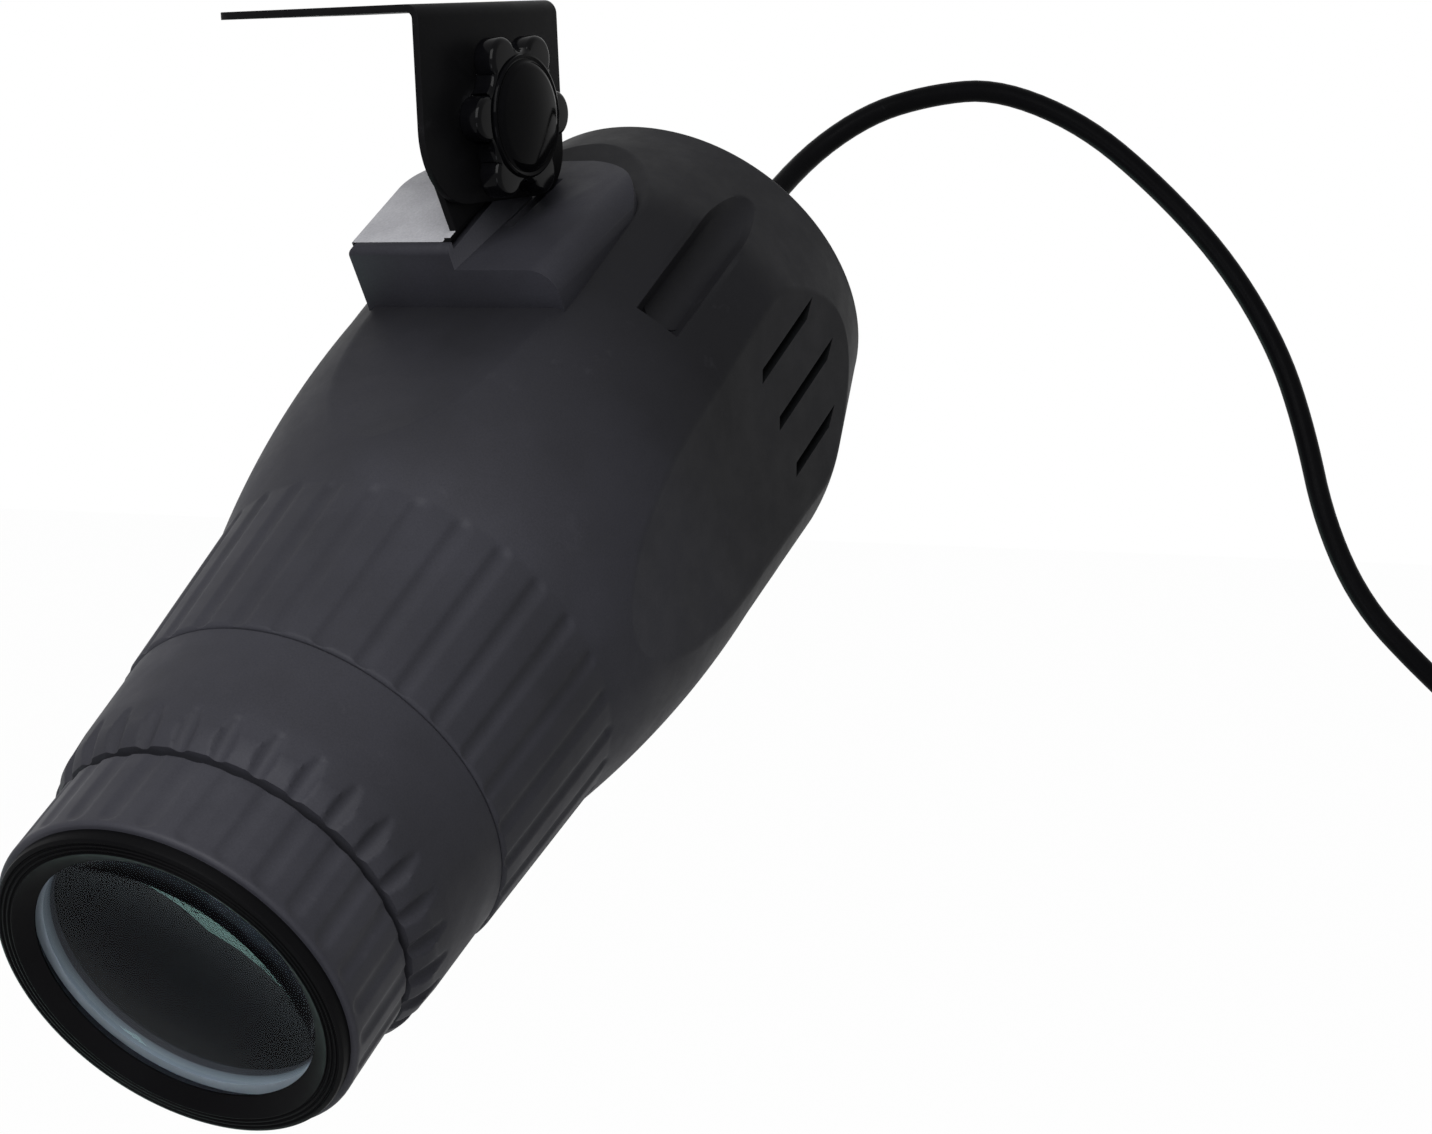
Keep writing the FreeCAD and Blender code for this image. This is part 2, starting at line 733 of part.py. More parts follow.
def main_housing():
    outer = housing_form(0)
    cavity = housing_form(wall)
    ledge_front = cover_front - ledge_thick
    cavity = cavity.common(rod(housing_r, barrel_rear + neck_length, ledge_front))
    neck = rod(neck_r + run_gap, sleeve_front - overrun, barrel_rear + neck_length + overrun)
    seat = rod(cover_r + run_gap, cover_front, rear_end + overrun)
    ledge_hole = rod(ledge_bore, ledge_front - overrun, cover_front + overrun)
    bead = rod(channel_r + channel_wall, channel_front - channel_wall, cover_front, 0, channel_axis)
    beads = [one.common(outer) for one in around(bead, 4, corner_angle)]
    boss = rod(boss_r, sink_face - boss_length, sink_face, 0, boss_circle)
    bosses = [one.common(outer) for one in around(boss, 4, corner_angle)]
    shell = outer.cut([neck, seat, ledge_hole])
    shell = shell.cut(cavity)
    shell = shell.fuse(beads + bosses).removeSplitter()
    channel = rod(channel_r, channel_front, rear_end + overrun, 0, channel_axis)
    pocket = rod(channel_pocket_r, channel_front, channel_front + channel_pocket_length, 0, channel_pocket_axis)
    shell = shell.cut(around(channel, 4, corner_angle) + around(pocket, 4, corner_angle))
    boss_pilot = rod(screw_r, sink_face - boss_length + wall, sink_face + overrun, 0, boss_circle)
    cover_pilot = rod(screw_r, cover_front - ledge_thick - overrun, cover_front + overrun, 0,
                      cover_screw_circle)
    shell = shell.cut(around(boss_pilot, 4, corner_angle) + around(cover_pilot, cover_screws_count))
    sleeve_tilt = (sleeve_rear_r - sleeve_front_r) / sleeve_length
    flute_front = sleeve_front + sleeve_flute_margin
    flute_rear = sleeve_rear - sleeve_flute_end
    cutter = flute_cutter(sleeve_front_r + sleeve_tilt * sleeve_flute_margin,
                          sleeve_rear_r - sleeve_tilt * sleeve_flute_end,
                          flute_front, flute_rear, sleeve_flute_width, sleeve_flute_depth)
    shell = shell.cut(around(cutter, sleeve_flutes))
    vents = []
    for row, length in enumerate(vent_lengths):
        up = vent_pitch * (1 - row)
        low = up - vent_width / 2
        high = up + vent_width / 2
        front = vent_front + vent_stagger * row
        rear = front + length
        slot = [(front, low), (front + vent_front_slant, high), (rear, high), (rear - vent_rear_slant, low)]
        for side in (-1, 1):
            near, far = sorted((side * (flat_reach - wall - overrun), side * (flat_reach + overrun)))
            vents.append(side_prism(slot, near, far))
    shell = shell.cut(vents)
    holes = []
    for back in (saddle_front + foot_screw_front, saddle_front + foot_screw_front + foot_screw_pitch):
        holes.append(post(screw_r, flat_reach - wall - overrun, flat_reach + overrun, foot_screw_side, back))
        holes.append(post(foot_screw_r, flat_reach - wall - overrun, flat_reach + overrun, -foot_screw_side, back))
    lamp("main_housing", shell.cut(holes).removeSplitter())


def saddle():
    turn = 1 - math.sqrt(0.5)
    side_rear = saddle_front + saddle_side_length
    rear = saddle_front + saddle_length
    deep = flat_reach - saddle_front_high
    plan = [(-saddle_half, saddle_front), (saddle_half, saddle_front), (saddle_half, side_rear),
            ((saddle_half * 0.72, side_rear + (rear - side_rear) * 0.72), (0, rear)),
            ((-saddle_half * 0.72, side_rear + (rear - side_rear) * 0.72),
             (-saddle_half, side_rear))]
    top = flat_reach + saddle_front_high
    rear_top = flat_reach + saddle_rear_high
    step = sheet / 2
    wedge = side_prism([(saddle_front, deep), (saddle_front, top), (rear, rear_top), (rear, deep)],
                       -saddle_half, saddle_half)
    corner = [edge for edge in wedge.Edges
              if min(edge.BoundBox.XMin, edge.BoundBox.ZMin - flat_reach) > 0 and edge.BoundBox.YLength > saddle_length / 2]
    wedge = wedge.makeFillet(saddle_round, corner)
    wedge = wedge.common(plan_prism(plan, deep, foot_under))
    foot_rear = saddle_front + foot_length
    high = plan_prism([
        (-saddle_half, saddle_front), (step, saddle_front), (step, foot_rear),
        (-saddle_half + foot_corner, foot_rear),
        ((-saddle_half + foot_corner * turn, foot_rear - foot_corner * turn),
         (-saddle_half, foot_rear - foot_corner))], deep, foot_top)
    front_edges = [edge for edge in high.Edges
                   if edge.BoundBox.ZMin > foot_top - run_gap
                   and (edge.BoundBox.YMax < saddle_front + run_gap or edge.BoundBox.XMax < run_gap - saddle_half)]
    high = high.makeFillet(saddle_lip_round, front_edges)
    high = high.cut(block(-saddle_half - overrun, saddle_half, saddle_front + saddle_lip,
                          foot_rear + overrun, foot_under, foot_top + overrun))
    base = wedge.fuse(high).removeSplitter()
    slot_left = leg_inner - lamp_x - leg_relief_side
    relief = Part.makeCylinder(leg_relief_r, sheet + 2 * leg_relief_side,
                               V(slot_left, pivot_back, pivot_up), V(1, 0, 0))
    relief = relief.common(block(slot_left - overrun, saddle_half, pivot_back - leg_relief_lead,
                                 rear + saddle_length, 0, foot_top))
    base = base.cut(relief).cut(housing_form(0))
    pilots = []
    for back in (saddle_front + foot_screw_front, saddle_front + foot_screw_front + foot_screw_pitch):
        pilots.append(post(screw_r, deep, flat_reach + saddle_screw_grip, foot_screw_side, back))
        pilots.append(post(foot_screw_r, deep, foot_under + overrun, -foot_screw_side, back))
    lamp("bracket_saddle", base.cut(pilots))

    seat = flat_reach - wall
    short = []
    long = []
    for back in (saddle_front + foot_screw_front, saddle_front + foot_screw_front + foot_screw_pitch):
        short.append(pan_screw(screw_r, screw_head_r, screw_head, wall + saddle_screw_grip,
                               foot_screw_side, back, seat, V(0, 0, 1)))
        long.append(pan_screw(foot_screw_r, foot_screw_head_r, foot_screw_head, wall + saddle_high + sheet * 0.9,
                              -foot_screw_side, back, seat, V(0, 0, 1)))
    lamp("saddle_screws", Part.makeCompound(short))
    lamp("foot_screws", Part.makeCompound(long))


def ear_bracket():
    turn = 1 - math.sqrt(0.5)
    near = -sheet / 2
    far = sheet / 2
    outer = ear_bend + sheet
    top = pivot_up + ear_top_r
    foot_rear = saddle_front + foot_length
    profile = [
        (-saddle_half, foot_under), (far - outer, foot_under),
        ((far - outer * turn, foot_under + outer * turn), (far, foot_under + outer)),
        (far, top), (near, top), (near, foot_top + ear_bend),
        ((near - ear_bend * turn, foot_top + ear_bend * turn), (near - ear_bend, foot_top)),
        (-saddle_half, foot_top)]
    bent = end_prism(profile, foot_front, foot_rear + foot_length)
    foot = plan_prism([
        (-saddle_half, foot_front), (far, foot_front), (far, foot_rear), (-saddle_half + foot_corner, foot_rear),
        ((-saddle_half + foot_corner * turn, foot_rear - foot_corner * turn),
         (-saddle_half, foot_rear - foot_corner))], foot_under, foot_top + ear_bend)
    front = pivot_back - ear_front_reach
    slope = math.radians(45)
    blade = side_prism([
        (front, foot_under), (front, pivot_up),
        ((pivot_back - ear_top_r * math.cos(slope), pivot_up + ear_top_r * math.sin(slope)),
         (pivot_back, pivot_up + ear_top_r)),
        ((pivot_back + ear_top_r * math.sin(slope), pivot_up + ear_top_r * math.cos(slope)),
         (pivot_back + ear_top_r, pivot_up)),
        (foot_rear, foot_under + outer), (foot_rear, foot_under)], near - ear_bend, far)
    ear = bent.common(foot.fuse(blade))
    ear = ear.cut(Part.makeCylinder(bolt_r, sheet + 2 * overrun, V(near - overrun, pivot_back, pivot_up), V(1, 0, 0)))
    for back in (saddle_front + foot_screw_front, saddle_front + foot_screw_front + foot_screw_pitch):
        ear = ear.cut(post(foot_screw_r, foot_under - overrun, foot_under + sheet * 0.9, -foot_screw_side, back))
    lamp("ear_bracket", ear)


def light_engine():
    base = fused([rod(sink_r, sink_face, sink_face + sink_base),
                  rod(sink_corner_r, sink_face, sink_face + sink_base).common(
                      fused([one for one in around(rod(boss_r * 1.3, sink_face, sink_face + sink_base, 0,
                                                       boss_circle - 0.3 * boss_r), 4, corner_angle)]))])
    pitch = 2 * sink_r / fin_count
    fins = []
    for index in range(fin_count):
        x = (index - (fin_count - 1) / 2) * pitch
        fins.append(block(x - fin_thick / 2, x + fin_thick / 2, sink_face + sink_base, sink_rear, -sink_r, sink_r))
    trimmed = [fin.common(rod(sink_r - fin_inset, sink_face, sink_rear)) for fin in fins]
    sink = fused([base] + trimmed)
    through = rod(screw_r, sink_face - overrun, sink_face + sink_base + overrun, 0, boss_circle)
    fan_hole = [rod(screw_r, sink_rear - fan_screw_grip, sink_rear + overrun, x, up)
                for x in (-fan_screw_side, fan_screw_side) for up in (-fan_screw_side, fan_screw_side)]
    tapped = rod(screw_r, sink_face - overrun, sink_face + sink_base / 2, 0, mount_screw_circle)
    lamp("heat_sink", sink.cut(around(through, 4, corner_angle) + around(tapped, mount_screws_count) + fan_hole))
    screw = pan_screw(screw_r, screw_head_r, screw_head, sink_base + boss_length / 2, 0,
                      sink_face + sink_base, boss_circle, V(0, -1, 0))
    lamp("heat_sink_screws", Part.makeCompound(around(screw, 4, corner_angle)))

    board_face = sink_face - led_board_thick
    lamp("led_board", rod(led_board_r, board_face, sink_face))
    chip_face = board_face - led_base_thick
    chip = block(-led_base / 2, led_base / 2, chip_face, board_face, -led_base / 2, led_base / 2)
    dome = Part.makeSphere(led_dome_r, V(0, chip_face, 0)).common(rod(led_dome_r, chip_face - led_dome_r, chip_face))
    lamp("led_emitter", chip.fuse(dome).removeSplitter())

    mount_front = sink_face - mount_length
    bore = mount_tube_r - mount_wall
    tube = pipe(mount_tube_r, bore, mount_front, sink_face - mount_flange + run_gap)
    flange = rod(mount_flange_r, sink_face - mount_flange, sink_face)
    flange = flange.cut(rod(led_board_r + free_gap, board_face, sink_face))
    flange = flange.cut(rod(led_base * 0.8, sink_face - mount_flange - overrun, sink_face))
    shelf = sink_face - mount_length + condenser_back
    stop = pipe(bore + run_gap, bore - condenser_shelf, shelf, shelf + condenser_shelf)
    gate_stop = pipe(bore + run_gap, bore - condenser_shelf, mount_front + gate_ring + gate_thick,
                     mount_front + gate_ring + gate_thick + condenser_shelf)
    mount = fused([tube, flange, stop, gate_stop])
    hole = rod(screw_r, sink_face - mount_flange - overrun, sink_face + overrun, 0, mount_screw_circle)
    lamp("optic_mount", mount.cut(around(hole, mount_screws_count)))
    screw = pan_screw(screw_r, screw_head_r, screw_head, mount_flange + sink_base / 2, 0,
                      sink_face - mount_flange, mount_screw_circle, V(0, 1, 0))
    lamp("optic_screws", Part.makeCompound(around(screw, mount_screws_count)))
    lamp("gate_ring", pipe(bore, bore - condenser_shelf, mount_front, mount_front + gate_ring))
    lamp("beam_gate", pipe(bore, gate_r, mount_front + gate_ring, mount_front + gate_ring + gate_thick))
    front = shelf - condenser_edge
    steps = dished_front(condenser_sphere, bore - condenser_shelf, front)
    steps += [(bore - run_gap, front), (bore - run_gap, shelf), (0, shelf)]
    lamp("condenser_lens", spun(*steps))
    cup_rear = sink_face - mount_flange
    cup_front = cup_rear - reflector_length
    lip = bore - run_gap
    half_way = (cup_front + cup_rear) / 2
    middle = reflector_throat + (lip - reflector_throat) * 0.68
    cup = spun(
        (reflector_throat, cup_rear), ((middle, half_way), (lip, cup_front)),
        (lip - reflector_wall, cup_front),
        ((middle - reflector_wall * 1.3, half_way), (reflector_throat - reflector_wall, cup_rear)))
    lamp("reflector", cup)


def cooling_fan():
    half = fan_size / 2
    frame = block(-half, half, sink_rear, fan_rear, -half, half)
    uprights = [edge for edge in frame.Edges if edge.BoundBox.YLength > fan_depth / 2]
    frame = frame.makeFillet(fan_corner, uprights)
    frame = frame.cut(rod(fan_bore, sink_rear - overrun, fan_rear + overrun))
    web_front = fan_rear - fan_web
    hub = rod(fan_hub_r, web_front, fan_rear)
    struts = around(block(-fan_strut / 2, fan_strut / 2, web_front, fan_rear, 0, half - fan_strut / 2),
                    fan_struts_count, fan_strut_angle)
    pin = rod(fan_pin_r, web_front - fan_hub_depth * 0.8, web_front)
    frame = fused([frame, hub, pin] + struts)
    holes = [rod(screw_r, sink_rear - overrun, fan_rear + overrun, x, up)
             for x in (-fan_screw_side, fan_screw_side) for up in (-fan_screw_side, fan_screw_side)]
    lamp("fan_frame", frame.cut(holes))
    screws = [pan_screw(screw_r, screw_head_r, screw_head, fan_depth + fan_screw_grip * 0.9, x,
                        fan_rear, up, V(0, -1, 0))
              for x in (-fan_screw_side, fan_screw_side) for up in (-fan_screw_side, fan_screw_side)]
    lamp("fan_screws", Part.makeCompound(screws))

    rotor_rear = web_front - free_gap
    rotor_front = rotor_rear - fan_hub_depth
    hub = rod(fan_hub_r, rotor_front, rotor_rear)
    blade = block(-blade_width / 2, blade_width / 2, -blade_thick / 2, blade_thick / 2,
                  fan_hub_r * 0.8, fan_tip_r + overrun)
    blade.rotate(V(), V(0, 0, 1), blade_pitch_angle)
    blade.translate(V(0, (rotor_front + rotor_rear) / 2, 0))
    ring = rod(fan_tip_r, rotor_front, rotor_rear)
    rotor = fused([hub] + [one.common(ring) for one in around(blade, fan_blades)])
    lamp("fan_rotor", rotor.cut(rod(fan_pin_r + run_gap, rotor_front + overrun / 2, rotor_rear + overrun)))


def driver():
    board = rod(board_r, board_front, board_rear)
    lamp("driver_board", board)
    stands = around(rod(standoff_r, board_rear, cover_front, 0, standoff_circle), standoff_count, corner_angle)
    lamp("board_standoffs", Part.makeCompound(stands))

    def on_board(size, place):
        wide, high, deep = size
        x, up = place
        return block(x - wide / 2, x + wide / 2, board_rear, board_rear + deep, up - high / 2, up + high / 2)

    wide, high, deep = transformer_size
    core = on_board(transformer_size, transformer_place)
    bobbin_size = (wide * 0.6, high * 1.25, deep * 0.8)
    lamp("transformer", core.fuse(on_board(bobbin_size, transformer_place)).removeSplitter())
    cans = [rod(capacitor_r, board_rear, board_rear + capacitor_height, x, up) for x, up in capacitor_places]
    lamp("capacitors", Part.makeCompound(cans))
    lamp("terminal_block", on_board(terminal_size, terminal_place))
    lamp("driver_chips", Part.makeCompound([on_board(chip_size, place) for place in chip_places]))


def rear_cover():
    cover = rod(cover_r, cover_front, cover_rear)
    cover = cover.cut(rod(gland_shank_r, cover_front - overrun, cover_rear + overrun, gland_offset))
    slot = block(-inlet_width / 2, inlet_width / 2, cover_front - overrun, cover_rear + overrun,
                 inlet_inner, inlet_outer)
    holes = around(rod(screw_r, cover_front - overrun, cover_rear + overrun, 0, cover_screw_circle),
                   cover_screws_count)
    cover = cover.cut(around(slot, inlet_slots, 180.0 / inlet_slots) + holes)
    lamp("rear_cover", cover)
    screw = pan_screw(screw_r, screw_head_r, screw_head, cover_thick + ledge_thick, 0, cover_rear,
                      cover_screw_circle, V(0, -1, 0))
    lamp("cover_screws", Part.makeCompound(around(screw, cover_screws_count)))


def cable_gland():
    shank = rod(gland_shank_r, cover_front - locknut, cover_rear, gland_offset)
    flange = hexagon(gland_hex_r, cover_rear, cover_rear + gland_hex, gland_offset)
    dome = rod(gland_dome_r, cover_rear + gland_hex, gland_rear, gland_offset)
    dome = dome.makeChamfer(gland_dome / 3, [edge for edge in dome.Edges if edge.BoundBox.YMin > gland_rear - run_gap])
    socket = rod(boot_r + run_gap, boot_start, gland_rear + overrun, gland_offset)
    lamp("cable_gland", fused([shank, flange, dome]).cut(socket))
    nut = hexagon(gland_hex_r, cover_front - locknut, cover_front, gland_offset)
    lamp("gland_locknut", nut.cut(rod(gland_shank_r, cover_front - locknut - overrun, cover_front, gland_offset)))

    steps = [(0, boot_start), (boot_r, boot_start), (boot_r, gland_rear)]
    run = boot_end - gland_rear
    fall = (boot_r - boot_end_r) / boot_rings
    for index in range(boot_rings):
        radius = boot_r - fall * index
        back = gland_rear + run * index / boot_rings
        reach = run / boot_rings
        steps.append((radius, back + reach * 0.55))
        steps.append((radius - fall - boot_ring_depth / 2, back + reach * 0.62))
        steps.append((radius - fall - boot_ring_depth / 2, back + reach * 0.9))
        steps.append((radius - fall, back + reach))
    steps = steps[:-3] + [(boot_end_r, boot_end), (0, boot_end)]
    boot = spun(*steps)
    boot.translate(V(gland_offset, 0, 0))
    lamp("strain_relief", boot)


def arc_path(points, report):
    """Straight runs joined by tangent arcs, each as large as its two runs allow."""
    edges = []
    here = points[0]
    radii = []
    for before, corner, after in zip(points, points[1:], points[2:]):
        arrive = (corner - before).normalize()
        leave = (after - corner).normalize()
        turn = arrive.getAngle(leave)
        shorter = min((corner - before).Length, (after - corner).Length)
        setback = 0.45 * shorter
        radius = setback / math.tan(turn / 2)
        start = corner - arrive * setback
        end = corner + leave * setback
        inward = (leave - arrive).normalize()
        middle = corner + inward * (radius / math.cos(turn / 2) - radius)
        edges.append(Part.LineSegment(here, start).toShape())
        edges.append(Part.Arc(start, middle, end).toShape())
        here = end
        radii.append(radius)
    edges.append(Part.LineSegment(here, points[-1]).toShape())
    print(report, "bend radii", [round(radius, 1) for radius in radii])
    return edges


def tube_along(edges, report):
    """A round tube of the lead's own thickness along a path of edges."""
    wire = Part.Wire(edges)
    start = edges[0].valueAt(edges[0].FirstParameter)
    way = edges[0].tangentAt(edges[0].FirstParameter)
    profile = Part.Wire(Part.makeCircle(cord_r, start, way))
    tube = wire.makePipeShell([profile], True, False)
    expected = wire.Length * math.pi * cord_r ** 2
    print(report, "length", round(wire.Length, 1), "volume over section times length",
          round(tube.Volume / expected, 5), "valid", tube.isValid())
    return tube


def arc_from(start, way, end):
    """The edge from start to end that leaves along way."""
    chord = end - start
    along = chord * (1 / chord.Length)
    angle = way.getAngle(along)
    if angle < math.radians(0.001):
        return Part.LineSegment(start, end).toShape()
    side = (way - along * way.dot(along)).normalize()
    middle = (start + end) * 0.5 + side * (chord.Length / 2 * math.tan(angle / 2))
    return Part.Arc(start, middle, end).toShape()


def biarc(start, way, end, end_way):
    """Two tangent arcs that leave along way and arrive along end_way."""
    gap = end - start
    dot = gap.dot(way + end_way)
    bend = 2 * (1 - way.dot(end_way))
    reach = (math.sqrt(dot * dot + bend * gap.dot(gap)) - dot) / bend
    joint = (start + end + (way - end_way) * reach) * 0.5
    return [arc_from(start, way, joint), arc_reversed(arc_from(end, end_way * -1, joint))]


def arc_reversed(edge):
    """The same arc, run the other way."""
    first = edge.valueAt(edge.FirstParameter)
    last = edge.valueAt(edge.LastParameter)
    middle = edge.valueAt((edge.FirstParameter + edge.LastParameter) / 2)
    if isinstance(edge.Curve, Part.Line):
        return Part.LineSegment(last, first).toShape()
    return Part.Arc(last, middle, first).toShape()


def coil_point(quarters, top):
    """Centre of the coiled lead after so many quarter turns, in the coil's upright plane."""
    pitch = 2 * cord_r + coil_gap
    layer = pitch / 2
    climb_start = float(coil_in_quarter_count)
    climb_end = climb_start + 2
    if quarters <= climb_start:
        radius = coil_out_r - pitch * quarters / 4
        across = -layer
    elif quarters <= climb_end:
        climbed = math.pi * (quarters - climb_start) / 2
        radius = coil_out_r - pitch * climb_start / 4 - coil_climb_dip * math.sin(climbed) ** 2
        across = -layer * math.cos(climbed)
    else:
        radius = coil_out_r - pitch * climb_start / 4 + pitch * (quarters - climb_end) / 4
        across = layer
    angle = math.pi / 2 * (1 - quarters)
    return V(radius * math.cos(angle), across, radius * math.sin(angle) - coil_out_r) + top


def coil_way(quarters, top):
    """Direction of travel of the coiled lead."""
    small = 1e-4
    return (coil_point(quarters + small, top) - coil_point(quarters - small, top)).normalize()


def mains_lead():
    tip = lamp_place.multVec(V(gland_offset, boot_end, 0))
    leave = lamp_place.Rotation.multVec(V(0, 1, 0))
    route = [tip, tip + leave * lead_first_run] + [V(*point) for point in lead_route]
    lead = tube_along(arc_path(route, "lead"), "lead")
    save("cord_lead", lead)

    end = route[-1]
    thick = 2 * cord_r
    layer = (thick + coil_gap) / 2
    local_top = V(coil_entry_r, layer, -thick - coil_entry_r)
    total = coil_in_quarter_count + 2 + coil_out_quarter_count
    quarter_points = [coil_point(step, local_top) for step in range(total + 1)]
    ways = [coil_way(step, local_top) for step in range(total + 1)]
    ways[0] = V(1, 0, 0)
    ways[-1] = V(0, 0, -1)
    down = V(0, 0, -1)
    start = V()
    bend_start = start + down * thick
    edges = [Part.LineSegment(start, bend_start).toShape()]
    edges += biarc(bend_start, down, quarter_points[0], ways[0])
    for step in range(total):
        edges += biarc(quarter_points[step], ways[step], quarter_points[step + 1], ways[step + 1])
    tail = quarter_points[-1] + down * coil_tail
    edges.append(Part.LineSegment(quarter_points[-1], tail).toShape())
    coil = tube_along(edges, "coil")

    samples = []
    for edge in edges:
        span = edge.LastParameter - edge.FirstParameter
        samples += [edge.valueAt(edge.FirstParameter + span * k / 12) for k in range(12)]
    apart = 14 * 2
    least = min((samples[i] - samples[j]).Length
                for i in range(len(samples)) for j in range(i + apart, len(samples)))
    print("coil least gap to itself", round(least - thick, 3))

    place = FreeCAD.Placement(end, FreeCAD.Rotation(V(0, 0, 1), coil_angle))

    def beside(name, shape):
        placed = shape.copy()
        placed.Placement = place.multiply(placed.Placement)
        save(name, placed)

    beside("cord_coil", coil)

    hub = V(local_top.x, layer, local_top.z - coil_out_r)
    passes = [coil_point(1 - tie_angle / 90 + 4 * turn, local_top) - hub for turn in range(1, total // 4 + 1)]
    reaches = [math.hypot(one.x, one.z) for one in passes]
    inner = min(reaches) - cord_r - tie_gap - tie_bow
    outer = max(reaches) + cord_r + tie_gap
    deep = layer + cord_r + tie_gap
    ring = block(inner - tie_thick, outer + tie_thick, layer - deep - tie_thick, layer + deep + tie_thick,
                 -tie_width / 2, tie_width / 2)
    corners = [edge for edge in ring.Edges if edge.BoundBox.ZLength > tie_width / 2]
    ring = ring.makeFillet(cord_r, corners)
    hole = block(inner, outer, layer - deep, layer + deep, -tie_width, tie_width)
    corners = [edge for edge in hole.Edges if edge.BoundBox.ZLength > tie_width / 2]
    hole = hole.makeFillet(cord_r - tie_thick, corners)
    tie = ring.cut(hole)
    tie.rotate(V(), V(0, 1, 0), -tie_angle)
    tie.translate(V(hub.x, 0, hub.z))
    beside("coil_tie", tie)

    boot = Part.makeCone(cord_r * 1.3, plug_boot_r, plug_boot_length, tail, down)
    beside("plug_boot", boot)
    nose = tail + down * plug_boot_length
    narrow = plug_nose_width / 2
    wide = plug_width / 2
    deep = plug_thick / 2
    shoulder = nose.z - plug_length * 0.45
    face = nose.z - plug_length
    outline = [V(nose.x - narrow, nose.y, nose.z), V(nose.x + narrow, nose.y, nose.z),
               V(nose.x + wide, nose.y, shoulder), V(nose.x + wide, nose.y, face),
               V(nose.x - wide, nose.y, face), V(nose.x - wide, nose.y, shoulder)]
    flat = Part.Face(Part.makePolygon(outline + outline[:1]))
    flat.translate(V(0, -deep, 0))
    body = flat.extrude(V(0, plug_thick, 0))
    long_edges = [edge for edge in body.Edges if abs(edge.BoundBox.YLength - plug_thick) > deep]
    body = body.makeFillet(plug_corner, long_edges)
    beside("plug_body", body)
    pins = []
    for side in (-1, 1):
        root = V(nose.x + side * plug_pin_pitch / 2, nose.y, face)
        pin = Part.makeCylinder(plug_pin_r, plug_pin_length - plug_pin_r, root, down)
        tip = Part.makeSphere(plug_pin_r, root + down * (plug_pin_length - plug_pin_r))
        pins.append(pin.fuse(tip).removeSplitter())
    beside("plug_pins", Part.makeCompound(pins))


ceiling_bracket()
tilt_clamp()
star_knob()
front_optics()
lens_tube()
front_barrel()
main_housing()
saddle()
ear_bracket()
light_engine()
cooling_fan()
driver()
rear_cover()
cable_gland()
mains_lead()
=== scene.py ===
import math

import bmesh
import bpy
import numpy as np
from mathutils import Matrix, Vector


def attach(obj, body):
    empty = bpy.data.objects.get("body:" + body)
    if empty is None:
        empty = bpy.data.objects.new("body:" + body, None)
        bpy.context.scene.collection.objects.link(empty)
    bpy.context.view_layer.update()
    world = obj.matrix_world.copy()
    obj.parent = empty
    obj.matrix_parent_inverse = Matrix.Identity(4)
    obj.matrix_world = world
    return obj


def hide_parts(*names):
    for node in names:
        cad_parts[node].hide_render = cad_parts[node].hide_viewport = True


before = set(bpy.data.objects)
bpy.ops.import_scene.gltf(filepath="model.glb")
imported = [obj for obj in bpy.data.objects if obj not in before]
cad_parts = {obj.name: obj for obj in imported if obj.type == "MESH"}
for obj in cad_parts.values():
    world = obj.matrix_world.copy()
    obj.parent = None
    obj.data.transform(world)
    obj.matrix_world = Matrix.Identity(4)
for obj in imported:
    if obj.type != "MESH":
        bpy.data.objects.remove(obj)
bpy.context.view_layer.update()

# Sizes are in millimetres, as on a workshop drawing, and MM turns them into metres.
MM = 0.001
MERGE = 0.002
FIT = 0.06
TURN = 2 * math.pi

# Where the lamp hangs: its pivot, seen from the ceiling plate and in the lamp's own frame
PIVOT = Vector((22.1, 0.0, -24.0))
PIVOT_BACK = 182.4
PIVOT_UP = 78.5
AIM_TILT = 28.2
LAMP = (Matrix.Scale(MM, 4) @ Matrix.Translation(PIVOT) @ Matrix.Rotation(math.radians(AIM_TILT), 4, "X")
        @ Matrix.Translation((0, -PIVOT_BACK, -PIVOT_UP)))
KNOB = Matrix.Scale(MM, 4) @ Matrix.Translation((0, 0, PIVOT.z)) @ Matrix.Rotation(math.radians(-90), 4, "Z")

# Radii of the lamp, from the front glass to the rear cover
TUBE_R = 34.4
GLASS_R = 32.7
VIEW_R = 30.0
BEZEL_R = 37.2
RING_R = 38.6
COLLAR_FRONT_R = 39.0
COLLAR_R = 41.3
BARREL_MID_R = 41.8
NECK_R = 40.2
BARREL_REAR_R = 42.7
SLEEVE_FRONT_R = 43.4
SLEEVE_REAR_R = 46.2
SHOULDER_MID_R = 51.1
SHOULDER_R = 53.6
HOUSING_R = 54.6
REAR_R = 45.5
COVER_R = 41.5
LEDGE_BORE = 35.9
FLAT_REACH = 48.7
CHANNEL_AXIS = 54.3
CHANNEL_CUT_R = 5.3
POCKET_AXIS = 52.4
POCKET_R = 4.4
WALL = 2.6

# Places back from the front edge of the glass
RING_FRONT = 0.5
RING_REAR = 20.5
BARREL_FRONT = 22.0
BARREL_REAR = 53.0
NECK_LENGTH = 13.0
SLEEVE_FRONT = 53.1
SLEEVE_LIP = 0.9
SLEEVE_REAR = 96.1
SHOULDER_MID = SLEEVE_REAR + 25.7
SHOULDER_REAR = 159.8
CHANNEL_FRONT = 165.8
TAPER_FRONT = 198.5
TAPER_SOFT = 6.0
REAR_END = 235.8
COVER_FRONT = 231.3
COVER_REAR = 233.8
VENT_FRONT = 181.2
RIM_ROUND = 2.6
GLAND_REAR = 244.8
BOOT_END = 267.8
GLAND_OFFSET = 6.0

# Knob, measured out from the plate's middle
KNOB_BACK = 27.8
KNOB_FRONT = 33.1


